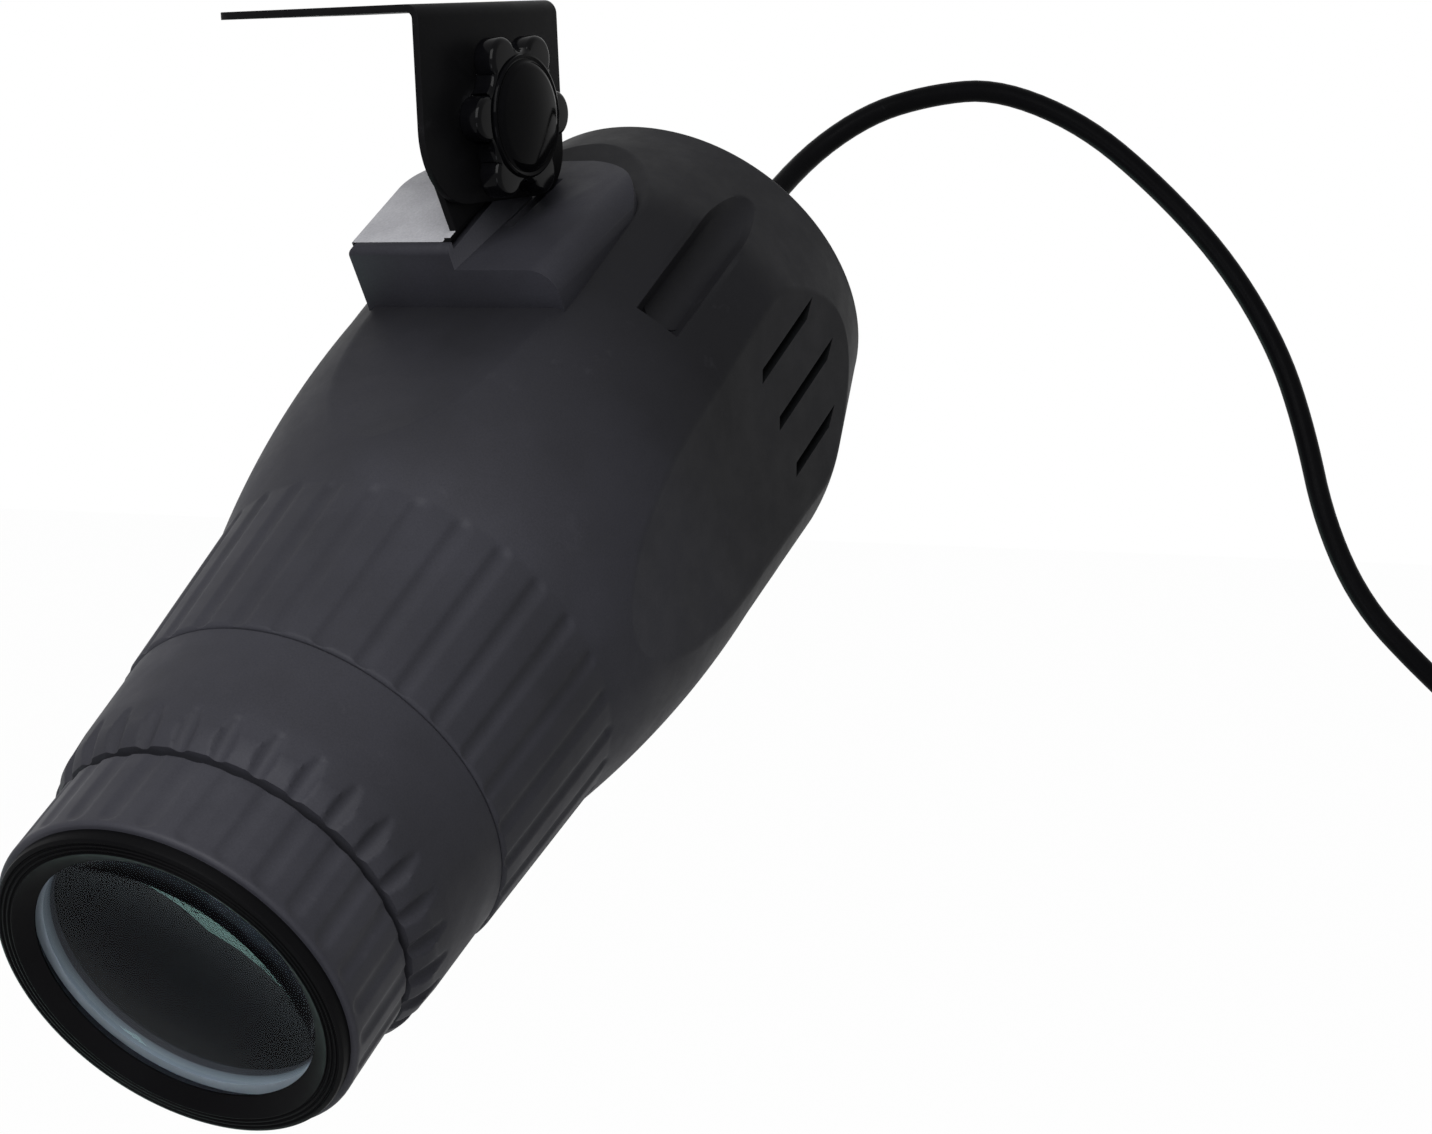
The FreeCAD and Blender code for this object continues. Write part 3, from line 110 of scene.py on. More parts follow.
def linear(code):
    """An sRGB hex colour as the linear values that Blender works in."""
    parts = [int(code[i:i + 2], 16) / 255 for i in (1, 3, 5)]
    return tuple(c / 12.92 if c <= 0.04045 else ((c + 0.055) / 1.055) ** 2.4 for c in parts) + (1.0,)


def node(tree, kind, inputs=None, **settings):
    """Add a node, set it up, and link or set its inputs."""
    made = tree.nodes.new(kind)
    for name, value in settings.items():
        setattr(made, name, value)
    for socket, value in (inputs or {}).items():
        if isinstance(value, bpy.types.NodeSocket):
            tree.links.new(value, made.inputs[socket])
        else:
            made.inputs[socket].default_value = value
    return made


def maths(tree, operation, *values):
    """The result of one sum with sockets and numbers."""
    return node(tree, "ShaderNodeMath", dict(enumerate(values)), operation=operation).outputs[0]


# Camera, solved from the photograph: its place, and what points right and down in the picture

CAMERA_PLACE = Vector((418.3, -632.7, -4.6))
CAMERA_RIGHT = Vector((0.881, 0.472, -0.040))
CAMERA_DOWN = Vector((0.039, -0.156, -0.987))
CAMERA_LENS = 87.99
CAMERA_FILM = 36.0
CAMERA_CLIP = (0.01, 50.0)


def place_camera():
    """Set up the camera from its place and its two directions, the second squared up to the first."""
    right = CAMERA_RIGHT.normalized()
    down = (CAMERA_DOWN - right * CAMERA_DOWN.dot(right)).normalized()
    ahead = right.cross(down)
    data = bpy.data.cameras.new("camera")
    data.lens = CAMERA_LENS
    data.sensor_width = CAMERA_FILM
    data.clip_start, data.clip_end = CAMERA_CLIP
    camera = bpy.data.objects.new("camera", data)
    turn = Matrix((right, -down, -ahead)).transposed()
    camera.matrix_world = Matrix.Translation(CAMERA_PLACE * MM) @ turn.to_4x4()
    bpy.context.scene.collection.objects.link(camera)
    bpy.context.scene.camera = camera


place_camera()


# Mains lead: one unbroken flex from the strain relief to the plug's boot

CORD_D = 5.4
COIL_GAP = 0.55
COIL_CLIMB_DIP = 1.2
COIL_OUT_R = 38.6
COIL_IN_QUARTERS = 11
COIL_OUT_QUARTERS = 12
COIL_TOTAL = COIL_IN_QUARTERS + 2 + COIL_OUT_QUARTERS
COIL_STEPS = 16
COIL_ENTRY_R = 22.0
COIL_TAIL = 15.0
COIL_ENTRY = [(0.05, 0.20), (0.30, 0.65), (0.77, 0.95)]
COIL_ANGLE = 28.2
LEAD_FIRST_RUN = 21.1
LEAD_ROUTE = [
    (40.9, 146.0, -30.4),
    (54.0, 158.5, -26.1),
    (67.0, 169.3, -25.5),
    (85.5, 178.6, -34.9),
    (101.7, 185.8, -50.8),
    (117.1, 191.8, -69.8),
    (129.3, 194.6, -91.7),
    (136.0, 194.5, -112.0),
    (141.1, 193.3, -134.8),
    (150.1, 194.4, -155.4),
    (164.2, 199.1, -172.2),
    (178.5, 205.6, -187.5),
    (188.0, 210.2, -206.5),
    (190.0, 211.3, -227.5),
    (190.0, 211.3, -243.0),
]
COIL_PLACE = (Matrix.Scale(MM, 4) @ Matrix.Translation(LEAD_ROUTE[-1])
              @ Matrix.Rotation(math.radians(COIL_ANGLE), 4, "Z"))


def coil_centre(quarters):
    """Centre line of the coiled lead after so many quarter turns, in the coil's upright plane."""
    pitch = CORD_D + COIL_GAP
    layer = pitch / 2
    climb_end = COIL_IN_QUARTERS + 2
    tight = COIL_OUT_R - pitch * COIL_IN_QUARTERS / 4
    if quarters <= COIL_IN_QUARTERS:
        radius = COIL_OUT_R - pitch * quarters / 4
        across = -layer
    elif quarters <= climb_end:
        climbed = math.pi * (quarters - COIL_IN_QUARTERS) / 2
        radius = tight - COIL_CLIMB_DIP * math.sin(climbed) ** 2
        across = -layer * math.cos(climbed)
    else:
        radius = tight + pitch * (quarters - climb_end) / 4
        across = layer
    angle = math.pi / 2 * (1 - quarters)
    # Control points stand a little outside the turn that the curve then follows.
    radius /= math.cos(math.pi / COIL_STEPS)
    return Vector((COIL_ENTRY_R + radius * math.cos(angle), layer + across,
                   -CORD_D - COIL_ENTRY_R - COIL_OUT_R + radius * math.sin(angle)))


def mains_lead():
    """The lead as one curve: out of the relief, down its route, into the coil, round it and down to the plug."""
    tip = LAMP @ Vector((GLAND_OFFSET, BOOT_END, 0))
    second = LAMP @ Vector((GLAND_OFFSET, BOOT_END + LEAD_FIRST_RUN, 0))
    points = [tip, second] + [Vector(point) * MM for point in LEAD_ROUTE]
    points += [COIL_PLACE @ (Vector((side, 0, -drop)) * COIL_ENTRY_R + Vector((0, 0, -CORD_D)))
               for side, drop in COIL_ENTRY]
    per_quarter = COIL_STEPS // 4
    points += [COIL_PLACE @ coil_centre((step + 0.5) / per_quarter) for step in range(COIL_TOTAL * per_quarter)]
    last = Vector((COIL_ENTRY_R + COIL_OUT_R + (CORD_D + COIL_GAP) / 4, CORD_D + COIL_GAP,
                   -CORD_D - COIL_ENTRY_R - COIL_OUT_R))
    points += [COIL_PLACE @ (last + Vector((0, 0, -drop))) for drop in (COIL_TAIL / 2, COIL_TAIL)]
    curve = bpy.data.curves.new("mains_lead", "CURVE")
    curve.dimensions = "3D"
    spline = curve.splines.new("NURBS")
    spline.points.add(len(points) - 1)
    for target, point in zip(spline.points, points):
        target.co = (*point, 1)
        target.radius = CORD_D / 2 * MM
    spline.order_u = 3
    spline.use_endpoint_u = True
    spline.resolution_u = 6
    # Each point's own radius is the lead's, so the bevel only carries it on.
    curve.bevel_depth = 1.0
    curve.bevel_resolution = 5
    curve.use_fill_caps = True
    made = bpy.data.objects.new("mains_lead", curve)
    bpy.context.scene.collection.objects.link(made)
    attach(made, "lamp_head")
    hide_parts("cord_lead", "cord_coil")
    return made


lead = mains_lead()


# Shapes. Each one is drawn in its own millimetres and then set in its place.

SMOOTH_TO = 32
EDGE_FROM = 24
EDGE_SEGMENTS = 3
FLAT_WITHIN = 1.0


def made_piece(name, points, faces):
    """A piece from points and faces, its doubles merged and its faces turned outwards."""
    mesh = bpy.data.meshes.new(name)
    mesh.from_pydata([tuple(point) for point in points], [], [tuple(face) for face in faces])
    work = bmesh.new()
    work.from_mesh(mesh)
    bmesh.ops.remove_doubles(work, verts=work.verts, dist=MERGE)
    bmesh.ops.dissolve_degenerate(work, edges=work.edges, dist=MERGE)
    bmesh.ops.recalc_face_normals(work, faces=work.faces)
    work.to_mesh(mesh)
    work.free()
    piece = bpy.data.objects.new(name, mesh)
    bpy.context.scene.collection.objects.link(piece)
    return piece


def softened(outline, radius, steps=3):
    """The outline with its corners rounded off, apart from those on the axis."""
    rounded = []
    for index, corner in enumerate(outline):
        if corner[0] == 0:
            rounded.append(corner)
            continue
        here = np.array(corner, float)
        before = np.array(outline[index - 1], float)
        after = np.array(outline[(index + 1) % len(outline)], float)
        back = (before - here) / max(np.linalg.norm(before - here), 1e-9)
        on = (after - here) / max(np.linalg.norm(after - here), 1e-9)
        room = 0.45 * min(np.linalg.norm(before - here), np.linalg.norm(after - here))
        cut = min(radius, room)
        for step in range(steps + 1):
            t = step / steps
            rounded.append(tuple((here + back * cut) * (1 - t) ** 2 + here * 2 * t * (1 - t)
                                 + (here + on * cut) * t ** 2))
    return rounded


def skin(rows, columns, closed=True):
    """Faces between neighbouring rings, and from the last ring to the first one where the loop is closed."""
    return [(row * columns + column, row * columns + (column + 1) % columns,
             (row + 1) % rows * columns + (column + 1) % columns, (row + 1) % rows * columns + column)
            for row in range(rows if closed else rows - 1) for column in range(columns)]


def turned(name, outline, columns=192):
    """A piece turned about the lamp's axis from an outline of (radius, back)."""
    around = np.arange(columns) * TURN / columns
    points = [(radius * math.sin(a), back, radius * math.cos(a)) for radius, back in outline for a in around]
    return made_piece(name, points, skin(len(outline), columns))


def evaluated(piece):
    """The piece with its modifiers turned into plain mesh, and the modifiers gone."""
    graph = bpy.context.evaluated_depsgraph_get()
    mesh = bpy.data.meshes.new_from_object(piece.evaluated_get(graph))
    mesh.name = piece.name
    piece.modifiers.clear()
    old = piece.data
    piece.data = mesh
    bpy.data.meshes.remove(old)
    return piece


def new_tree(name, numbers):
    """A tree that works on one mesh, with its named numbers and the finish that it sets, and what it is given."""
    tree = bpy.data.node_groups.new(name, "GeometryNodeTree")
    tree.interface.new_socket(name="Geometry", in_out="INPUT", socket_type="NodeSocketGeometry")
    for number in numbers:
        tree.interface.new_socket(name=number, in_out="INPUT", socket_type="NodeSocketFloat")
    tree.interface.new_socket(name="Finish", in_out="INPUT", socket_type="NodeSocketMaterial")
    tree.interface.new_socket(name="Geometry", in_out="OUTPUT", socket_type="NodeSocketGeometry")
    return tree, node(tree, "NodeGroupInput").outputs


def end_tree(tree, shape, finish):
    """End a tree in plain mesh with its finish."""
    real = node(tree, "GeometryNodeRealizeInstances", {"Geometry": shape}).outputs[0]
    done = node(tree, "GeometryNodeSetMaterial", {"Geometry": real, "Material": finish}).outputs[0]
    node(tree, "NodeGroupOutput", {"Geometry": done})
    return tree


def flute_tree():
    """Round-ended flutes sunk along a round or tapered skin, evenly spaced about the lamp's axis."""
    tree, given = new_tree("flutes", ("Count", "Phase", "Start", "End", "Start Radius", "End Radius", "Width",
                                      "Depth", "Edge"))
    place = node(tree, "ShaderNodeSeparateXYZ", {0: node(tree, "GeometryNodeInputPosition").outputs[0]}).outputs
    share = maths(tree, "DIVIDE", maths(tree, "ARCTAN2", place["X"], place["Z"]), TURN)
    turns = maths(tree, "MULTIPLY_ADD", share, given["Count"], given["Phase"])
    off = maths(tree, "SUBTRACT", turns, maths(tree, "ROUND", turns))
    base = node(tree, "ShaderNodeMapRange", {"Value": place["Y"], "From Min": given["Start"], "From Max": given["End"],
                                             "To Min": given["Start Radius"], "To Max": given["End Radius"]}).outputs[0]
    pitch = maths(tree, "DIVIDE", maths(tree, "MULTIPLY", base, TURN), given["Count"])
    aside = maths(tree, "MULTIPLY", off, pitch)
    ahead = maths(tree, "SUBTRACT", given["Start"], place["Y"])
    behind = maths(tree, "SUBTRACT", place["Y"], given["End"])
    beyond = maths(tree, "MAXIMUM", maths(tree, "MAXIMUM", ahead, behind), 0.0)
    apart = maths(tree, "MULTIPLY_ADD", aside, aside, maths(tree, "MULTIPLY", beyond, beyond))
    half = maths(tree, "MULTIPLY", given["Width"], 0.5)
    ratio = maths(tree, "DIVIDE", apart, maths(tree, "MULTIPLY", half, half))
    floor = maths(tree, "SUBTRACT", base, given["Depth"])
    cut = maths(tree, "MULTIPLY_ADD", given["Depth"], ratio, floor)
    flat = node(tree, "ShaderNodeCombineXYZ", {0: place["X"], 2: place["Z"]}).outputs[0]
    radius = node(tree, "ShaderNodeVectorMath", {0: flat}, operation="LENGTH").outputs["Value"]
    scale = maths(tree, "DIVIDE", maths(tree, "SMOOTH_MIN", radius, cut, given["Edge"]), radius)
    across = node(tree, "ShaderNodeVectorMath", {0: flat, "Scale": scale}, operation="SCALE").outputs[0]
    along = node(tree, "ShaderNodeCombineXYZ", {1: place["Y"]}).outputs[0]
    moved = node(tree, "ShaderNodeVectorMath", {0: across, 1: along}, operation="ADD").outputs[0]
    sunk = node(tree, "GeometryNodeSetPosition", {"Geometry": given["Geometry"], "Position": moved}).outputs[0]
    return end_tree(tree, sunk, given["Finish"])


def circle_tree():
    """One item repeated in a circle about the lamp's axis, each turned with its place."""
    tree, given = new_tree("circle_of_items", ("Count", "First", "Radius", "Back"))
    dots = node(tree, "GeometryNodePoints", {"Count": given["Count"]}).outputs[0]
    index = node(tree, "GeometryNodeInputIndex").outputs[0]
    angle = maths(tree, "MULTIPLY_ADD", index, maths(tree, "DIVIDE", TURN, given["Count"]), given["First"])
    side = maths(tree, "MULTIPLY", maths(tree, "SINE", angle), given["Radius"])
    up = maths(tree, "MULTIPLY", maths(tree, "COSINE", angle), given["Radius"])
    place = node(tree, "ShaderNodeCombineXYZ", {0: side, 1: given["Back"], 2: up}).outputs[0]
    spread = node(tree, "GeometryNodeSetPosition", {"Geometry": dots, "Position": place}).outputs[0]
    turn = node(tree, "ShaderNodeCombineXYZ", {1: angle}).outputs[0]
    items = node(tree, "GeometryNodeInstanceOnPoints", {"Points": spread, "Instance": given["Geometry"],
                                                        "Rotation": turn}).outputs[0]
    return end_tree(tree, items, given["Finish"])


def grown(piece, tree, **inputs):
    """Run the piece through a tree, its inputs given by name, and keep the plain mesh."""
    modifier = piece.modifiers.new(tree.name, "NODES")
    modifier.node_group = tree
    for socket in tree.interface.items_tree:
        if socket.in_out == "INPUT" and socket.name.replace(" ", "_").lower() in inputs:
            modifier[socket.identifier] = inputs[socket.name.replace(" ", "_").lower()]
    return evaluated(piece)


def carved(piece, cutters):
    """Cut the cutters out of the piece, one after the other."""
    for cutter in cutters:
        modifier = piece.modifiers.new("cut", "BOOLEAN")
        modifier.operation = "DIFFERENCE"
        modifier.solver = "EXACT"
        modifier.object = cutter
    evaluated(piece)
    for cutter in cutters:
        bpy.data.objects.remove(cutter)
    return piece


def seated(piece, body, nodes, finish, place=LAMP, crease=SMOOTH_TO):
    """Set a drawn piece in its place, smooth it, and give it its body, its finish and the nodes it stands for."""
    piece.data.transform(place)
    piece.data.materials.clear()
    piece.data.materials.append(finish)
    piece.data.shade_smooth()
    piece.data.set_sharp_from_angle(angle=math.radians(crease))
    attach(piece, body)
    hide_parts(*nodes)
    return piece


def second_finish(piece, finish, chosen):
    """Give a second finish to the faces chosen by their middle and their facing in the lamp's own frame."""
    piece.data.materials.append(finish)
    home = LAMP.inverted()
    for face in piece.data.polygons:
        if chosen(home @ face.center, (home.to_3x3() @ face.normal).normalized()):
            face.material_index = 1


def edged(name, body, finish, width):
    """A CAD node's form with its edges broken by a small radius, as a press, mould or tumbler leaves them."""
    work = bmesh.new()
    work.from_mesh(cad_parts[name].data)
    bmesh.ops.remove_doubles(work, verts=work.verts, dist=MERGE * MM)
    bmesh.ops.dissolve_limit(work, angle_limit=math.radians(FLAT_WITHIN), verts=work.verts, edges=work.edges)
    mesh = bpy.data.meshes.new(name + "_edged")
    work.to_mesh(mesh)
    work.free()
    piece = bpy.data.objects.new(name + "_edged", mesh)
    bpy.context.scene.collection.objects.link(piece)
    bevel = piece.modifiers.new("edges", "BEVEL")
    bevel.width = width * MM
    bevel.segments = EDGE_SEGMENTS
    bevel.limit_method = "ANGLE"
    bevel.angle_limit = math.radians(EDGE_FROM)
    bevel.use_clamp_overlap = True
    evaluated(piece)
    return seated(piece, body, [name], finish, Matrix())


def prisms(name, outlines):
    """Slanted blocks from outlines of (back, up), each between two sides, as one cutter."""
    points = []
    faces = []
    for outline, left, right in outlines:
        first = len(points)
        count = len(outline)
        points += [(left, back, up) for back, up in outline] + [(right, back, up) for back, up in outline]
        faces.append([first + k for k in range(count)])
        faces.append([first + count + k for k in range(count)])
        faces += [(first + k, first + (k + 1) % count, first + count + (k + 1) % count, first + count + k)
                  for k in range(count)]
    return made_piece(name, points, faces)


def round_cutter(name, radius, front, rear, side, up, columns=32):
    """A round cutter along the lamp's axis."""
    around = [TURN * k / columns for k in range(columns)]
    points = [(side + radius * math.sin(a), back, up + radius * math.cos(a)) for back in (front, rear) for a in around]
    faces = [range(columns), range(columns, 2 * columns)]
    return made_piece(name, points, faces + skin(2, columns, closed=False))


# Main housing

SLEEVE_FLUTES = {"count": 30.0, "phase": 0.0, "start": 54.3, "end": 94.1, "start_radius": 43.48, "end_radius": 46.07,
                 "width": 4.2, "depth": 0.75, "edge": 0.12}
# The sleeve's rounded lip: how far in and how far back each point lies
LIP = [(0.9, 0.0), (0.6, 0.08), (0.28, 0.3), (0.06, 0.62), (0.0, SLEEVE_LIP)]
RIM_REACH = 3.64
RIM_STEPS = 5
COVER_CHAMFER = 0.2
LEDGE_DEPTH = 2.5
BEAD_WALL = 2.2
CHANNEL_STEP = 0.02
HOUSING_CREASE = 30

# Rings of the skin: where each stretch starts and how far apart its rings are, close where the form changes
FRONT_ROWS = [(SLEEVE_FRONT + SLEEVE_LIP + 0.35, 0.4), (57.8, 3.7), (91.0, 0.45), (97.2, 1.0), (106.4, 0.6),
              (118.0, 2.6), (160.0, 1.2), (CHANNEL_FRONT - 0.4, None)]
REAR_ROWS = [(CHANNEL_FRONT + 0.4, 4.0), (TAPER_FRONT - TAPER_SOFT, 1.5), (TAPER_FRONT + TAPER_SOFT, 0.8),
             (212.0, 0.4), (222.5, 0.9), (REAR_END - RIM_ROUND, None)]
INSIDE_ROWS = [COVER_FRONT - LEDGE_DEPTH, 222.0, 204.5, 192.5, 180.0, CHANNEL_FRONT, 150.0, 135.0, 122.0, 112.0,
               104.0, 98.0, 88.0, 76.0, BARREL_REAR + NECK_LENGTH]

# Columns between a flat's middle and the corner: which of them follow the flat's and the channel's edges, how many
# degrees lie beside such an edge, and where the even columns of the sleeve give way to them
COLUMNS = 60
FLAT_COLUMN = 21
CHANNEL_COLUMN = 43
BESIDE_EDGE = 1.1
LEAST_FLAT = 1.2
LEAST_CHANNEL = 1.0
FOLLOW_FROM = 96.0
FOLLOW_RUN = 10.0

# Vents: three slanted slots a side, from the top one down
VENT_LENGTHS = (30.0, 32.5, 24.0)
VENT_PITCH = 13.1
VENT_DROP = 1.3
VENT_STAGGER = 1.1
VENT_WIDTH = 2.6
VENT_SLANT_FRONT = 1.7
VENT_SLANT_REAR = 5.0
VENT_REACH = (43.0, 52.0)
POCKET_LENGTH = 4.2
POCKET_OVERLAP = 0.01

# Painted shade inside the vents, in the dull baffle black: between these distances from the lamp's middle, this high
# and this far along
VENT_SHADE = (40.0, FLAT_REACH - 0.05)
VENT_SHADE_HEIGHT = 18.0
VENT_SHADE_RUN = (VENT_FRONT - 2.0, VENT_FRONT + 38.0)
VENT_SHADE_FACING = 20.0


def straight(back, first, last):
    """Radius at a distance back along the straight line through two (back, radius) points."""
    (x1, y1), (x2, y2) = first, last
    return y1 + (y2 - y1) * (back - x1) / (x2 - x1)


def three_point_arc(back, first, middle, last):
    """Radius at a distance back along the arc through three (back, radius) points."""
    (x1, y1), (x2, y2), (x3, y3) = first, middle, last
    d = 2 * (x1 * (y2 - y3) + x2 * (y3 - y1) + x3 * (y1 - y2))
    x = ((x1 ** 2 + y1 ** 2) * (y2 - y3) + (x2 ** 2 + y2 ** 2) * (y3 - y1) + (x3 ** 2 + y3 ** 2) * (y1 - y2)) / d
    y = ((x1 ** 2 + y1 ** 2) * (x3 - x2) + (x2 ** 2 + y2 ** 2) * (x1 - x3) + (x3 ** 2 + y3 ** 2) * (x2 - x1)) / d
    radius = math.hypot(x1 - x, y1 - y)
    return y + math.sqrt(radius ** 2 - (back - x) ** 2)


def housing_radius(back):
    """The housing's round profile before its flats are cut."""
    if back <= SLEEVE_REAR:
        return straight(back, (SLEEVE_FRONT + SLEEVE_LIP, SLEEVE_FRONT_R), (SLEEVE_REAR, SLEEVE_REAR_R))
    if back <= SHOULDER_REAR:
        return three_point_arc(back, (SLEEVE_REAR, SLEEVE_REAR_R), (SHOULDER_MID, SHOULDER_MID_R),
                               (SHOULDER_REAR, SHOULDER_R))
    rise = (HOUSING_R - SHOULDER_R) / (TAPER_FRONT - SHOULDER_REAR)
    fall = (HOUSING_R - REAR_R) / (REAR_END - RIM_ROUND - TAPER_FRONT)
    beyond = back - TAPER_FRONT
    if abs(beyond) < TAPER_SOFT:
        return three_point_arc(beyond, (-TAPER_SOFT, HOUSING_R - rise * TAPER_SOFT),
                               (0, HOUSING_R - (rise + fall) * TAPER_SOFT / 4),
                               (TAPER_SOFT, HOUSING_R - fall * TAPER_SOFT))
    return HOUSING_R + (rise if beyond < 0 else -fall) * beyond


def housing_rows():
    """Places back along the outside, evenly spread over each stretch."""
    rows = []
    for stretches in (FRONT_ROWS, REAR_ROWS):
        for (start, pitch), (end, _) in zip(stretches, stretches[1:]):
            count = max(1, round((end - start) / pitch))
            rows += [start + (end - start) * k / count for k in range(count)]
    return rows + [REAR_END - RIM_ROUND]


def octant(back):
    """Column angles from a flat's middle to the corner, which follow the edges of flat and channel."""
    radius = housing_radius(min(back, REAR_END - RIM_ROUND))
    crease = max(math.degrees(math.acos(min(1.0, FLAT_REACH / radius))), LEAST_FLAT)
    bite = (CHANNEL_AXIS ** 2 + radius ** 2 - CHANNEL_CUT_R ** 2) / (2 * CHANNEL_AXIS * radius)
    side = 45 - max(math.degrees(math.acos(min(1.0, bite))), LEAST_CHANNEL)
    knots = [(0, 0), (FLAT_COLUMN - 1, crease - BESIDE_EDGE), (FLAT_COLUMN, crease),
             (FLAT_COLUMN + 1, crease + BESIDE_EDGE), (CHANNEL_COLUMN - 1, side - BESIDE_EDGE), (CHANNEL_COLUMN, side),
             (CHANNEL_COLUMN + 1, side + BESIDE_EDGE), (COLUMNS, 45)]
    fitted = np.interp(range(COLUMNS + 1), [column for column, _ in knots], [angle for _, angle in knots])
    even = np.arange(COLUMNS + 1) * 45 / COLUMNS
    blend = min(1.0, max(0.0, (back - FOLLOW_FROM) / FOLLOW_RUN))
    return even * (1 - blend) + fitted * blend


def channel_floor(off, cut):
    """How far out the skin reaches this angle away from a channel's middle, where a round of radius cut is sunk."""
    sunk = cut ** 2 - (CHANNEL_AXIS * math.sin(off)) ** 2
    return CHANNEL_AXIS * math.cos(off) - math.sqrt(sunk) if sunk > 0 else math.inf


def housing_ring(back, radius, inset=0.0, cut=CHANNEL_CUT_R):
    """One ring of the housing's skin: the round profile, four flats and four screw channels."""
    forward = octant(back)
    ring = []
    for quarter in range(4):
        for angle in list(forward) + list(90 - forward[-2:0:-1]):
            a = math.radians(angle)
            flat = (FLAT_REACH - inset) / max(math.cos(a), math.sin(a))
            here = min(radius, flat, channel_floor(a - math.pi / 4, cut))
            turn = a + quarter * math.pi / 2
            ring.append((here * math.sin(turn), back, here * math.cos(turn)))
    return ring


def housing_skin():
    """The housing as one loop of rings: the sleeve's lip, the outside, the rear edge, and back along the inside."""
    rings = [housing_ring(SLEEVE_FRONT, NECK_R + FIT, cut=0)]
    rings += [housing_ring(SLEEVE_FRONT + behind, SLEEVE_FRONT_R - inwards, cut=0) for inwards, behind in LIP]
    for back in housing_rows():
        if back > CHANNEL_FRONT > rings[-1][0][1]:
            rings.append(housing_ring(CHANNEL_FRONT, housing_radius(CHANNEL_FRONT), cut=0))
            rings.append(housing_ring(CHANNEL_FRONT + CHANNEL_STEP, housing_radius(CHANNEL_FRONT)))
        rings.append(housing_ring(back, housing_radius(back), cut=CHANNEL_CUT_R if back > CHANNEL_FRONT else 0))
    for step in range(1, RIM_STEPS + 1):
        a = step / RIM_STEPS * math.pi / 2
        rings.append(housing_ring(REAR_END - RIM_ROUND * (1 - math.sin(a)), REAR_R - RIM_REACH * (1 - math.cos(a))))
    seat = [(REAR_END, COVER_R + FIT + COVER_CHAMFER), (REAR_END - COVER_CHAMFER, COVER_R + FIT),
            (COVER_FRONT, COVER_R + FIT), (COVER_FRONT, LEDGE_BORE), (COVER_FRONT - LEDGE_DEPTH, LEDGE_BORE)]
    rings += [housing_ring(back, radius, cut=0) for back, radius in seat]
    for back in INSIDE_ROWS:
        bead = CHANNEL_CUT_R + BEAD_WALL if back >= CHANNEL_FRONT else 0
        rings.append(housing_ring(back, housing_radius(back) - WALL, WALL, bead))
    rings.append(housing_ring(BARREL_REAR + NECK_LENGTH, NECK_R + FIT, cut=0))
    return made_piece("housing_shell", [point for ring in rings for point in ring], skin(len(rings), len(rings[0])))


def main_housing():
    """The moulded shell with its flutes, vents and the pockets at the front of its screw channels."""
    shell = housing_skin()
    grown(shell, FLUTES, finish=MOULDED, **SLEEVE_FLUTES)
    slots = []
    for row, length in enumerate(VENT_LENGTHS):
        low = VENT_PITCH * (1 - row) - VENT_DROP
        front = VENT_FRONT + VENT_STAGGER * row
        rear = front + length
        slot = [(front, low), (front + VENT_SLANT_FRONT, low + VENT_WIDTH), (rear, low + VENT_WIDTH),
                (rear - VENT_SLANT_REAR, low)]
        slots += [(slot, *sorted(side * reach for reach in VENT_REACH)) for side in (-1, 1)]
    pockets = []
    for corner in (math.pi / 4 + index * math.pi / 2 for index in range(4)):
        pockets.append(round_cutter("pocket", POCKET_R, CHANNEL_FRONT - POCKET_OVERLAP, CHANNEL_FRONT + POCKET_LENGTH,
                                    POCKET_AXIS * math.sin(corner), POCKET_AXIS * math.cos(corner)))
    carved(shell, [prisms("slots", slots)] + pockets)
    seated(shell, "lamp_head", ["main_housing"], MOULDED, crease=HOUSING_CREASE)

    def in_vent(place, facing):
        """True on a vent's inner faces, but not on a face that looks outwards."""
        deep = VENT_SHADE[0] < abs(place.x) < VENT_SHADE[1] and abs(place.z) < VENT_SHADE_HEIGHT
        return deep and VENT_SHADE_RUN[0] < place.y < VENT_SHADE_RUN[1] and facing.x * place.x < VENT_SHADE_FACING

    # The vents' inner walls take the baffle black: painted shade in the deep slots
    second_finish(shell, BAFFLE, in_vent)


# Front barrel

COLLAR_ROUND = 6.0
COLLAR_ROUND_STEPS = np.linspace(0.15, 1, 15)
COLLAR_SWELL = 0.9
COLLAR_REAR = 33.0
COLLAR_PITCH = 0.5
COLLAR_FLUTES = {"count": 30.0, "phase": 0.5, "start": BARREL_FRONT, "end": 30.0,
                 "start_radius": COLLAR_FRONT_R - 0.1, "end_radius": COLLAR_R + 0.4,
                 "width": 3.2, "depth": 0.7, "edge": 0.1}
BARREL_ROWS = (COLLAR_REAR, 33.6, 34.2, 34.8, 36.0, 40.0, 46.0)
BARREL_BORE = TUBE_R + 3.0 + FIT
BARREL_EDGE = [(0.02, 0.3), (0.3, 0.0)]
TUBE_SEAT_REAR = BARREL_FRONT + 9.0
FINE_COLUMNS = 480


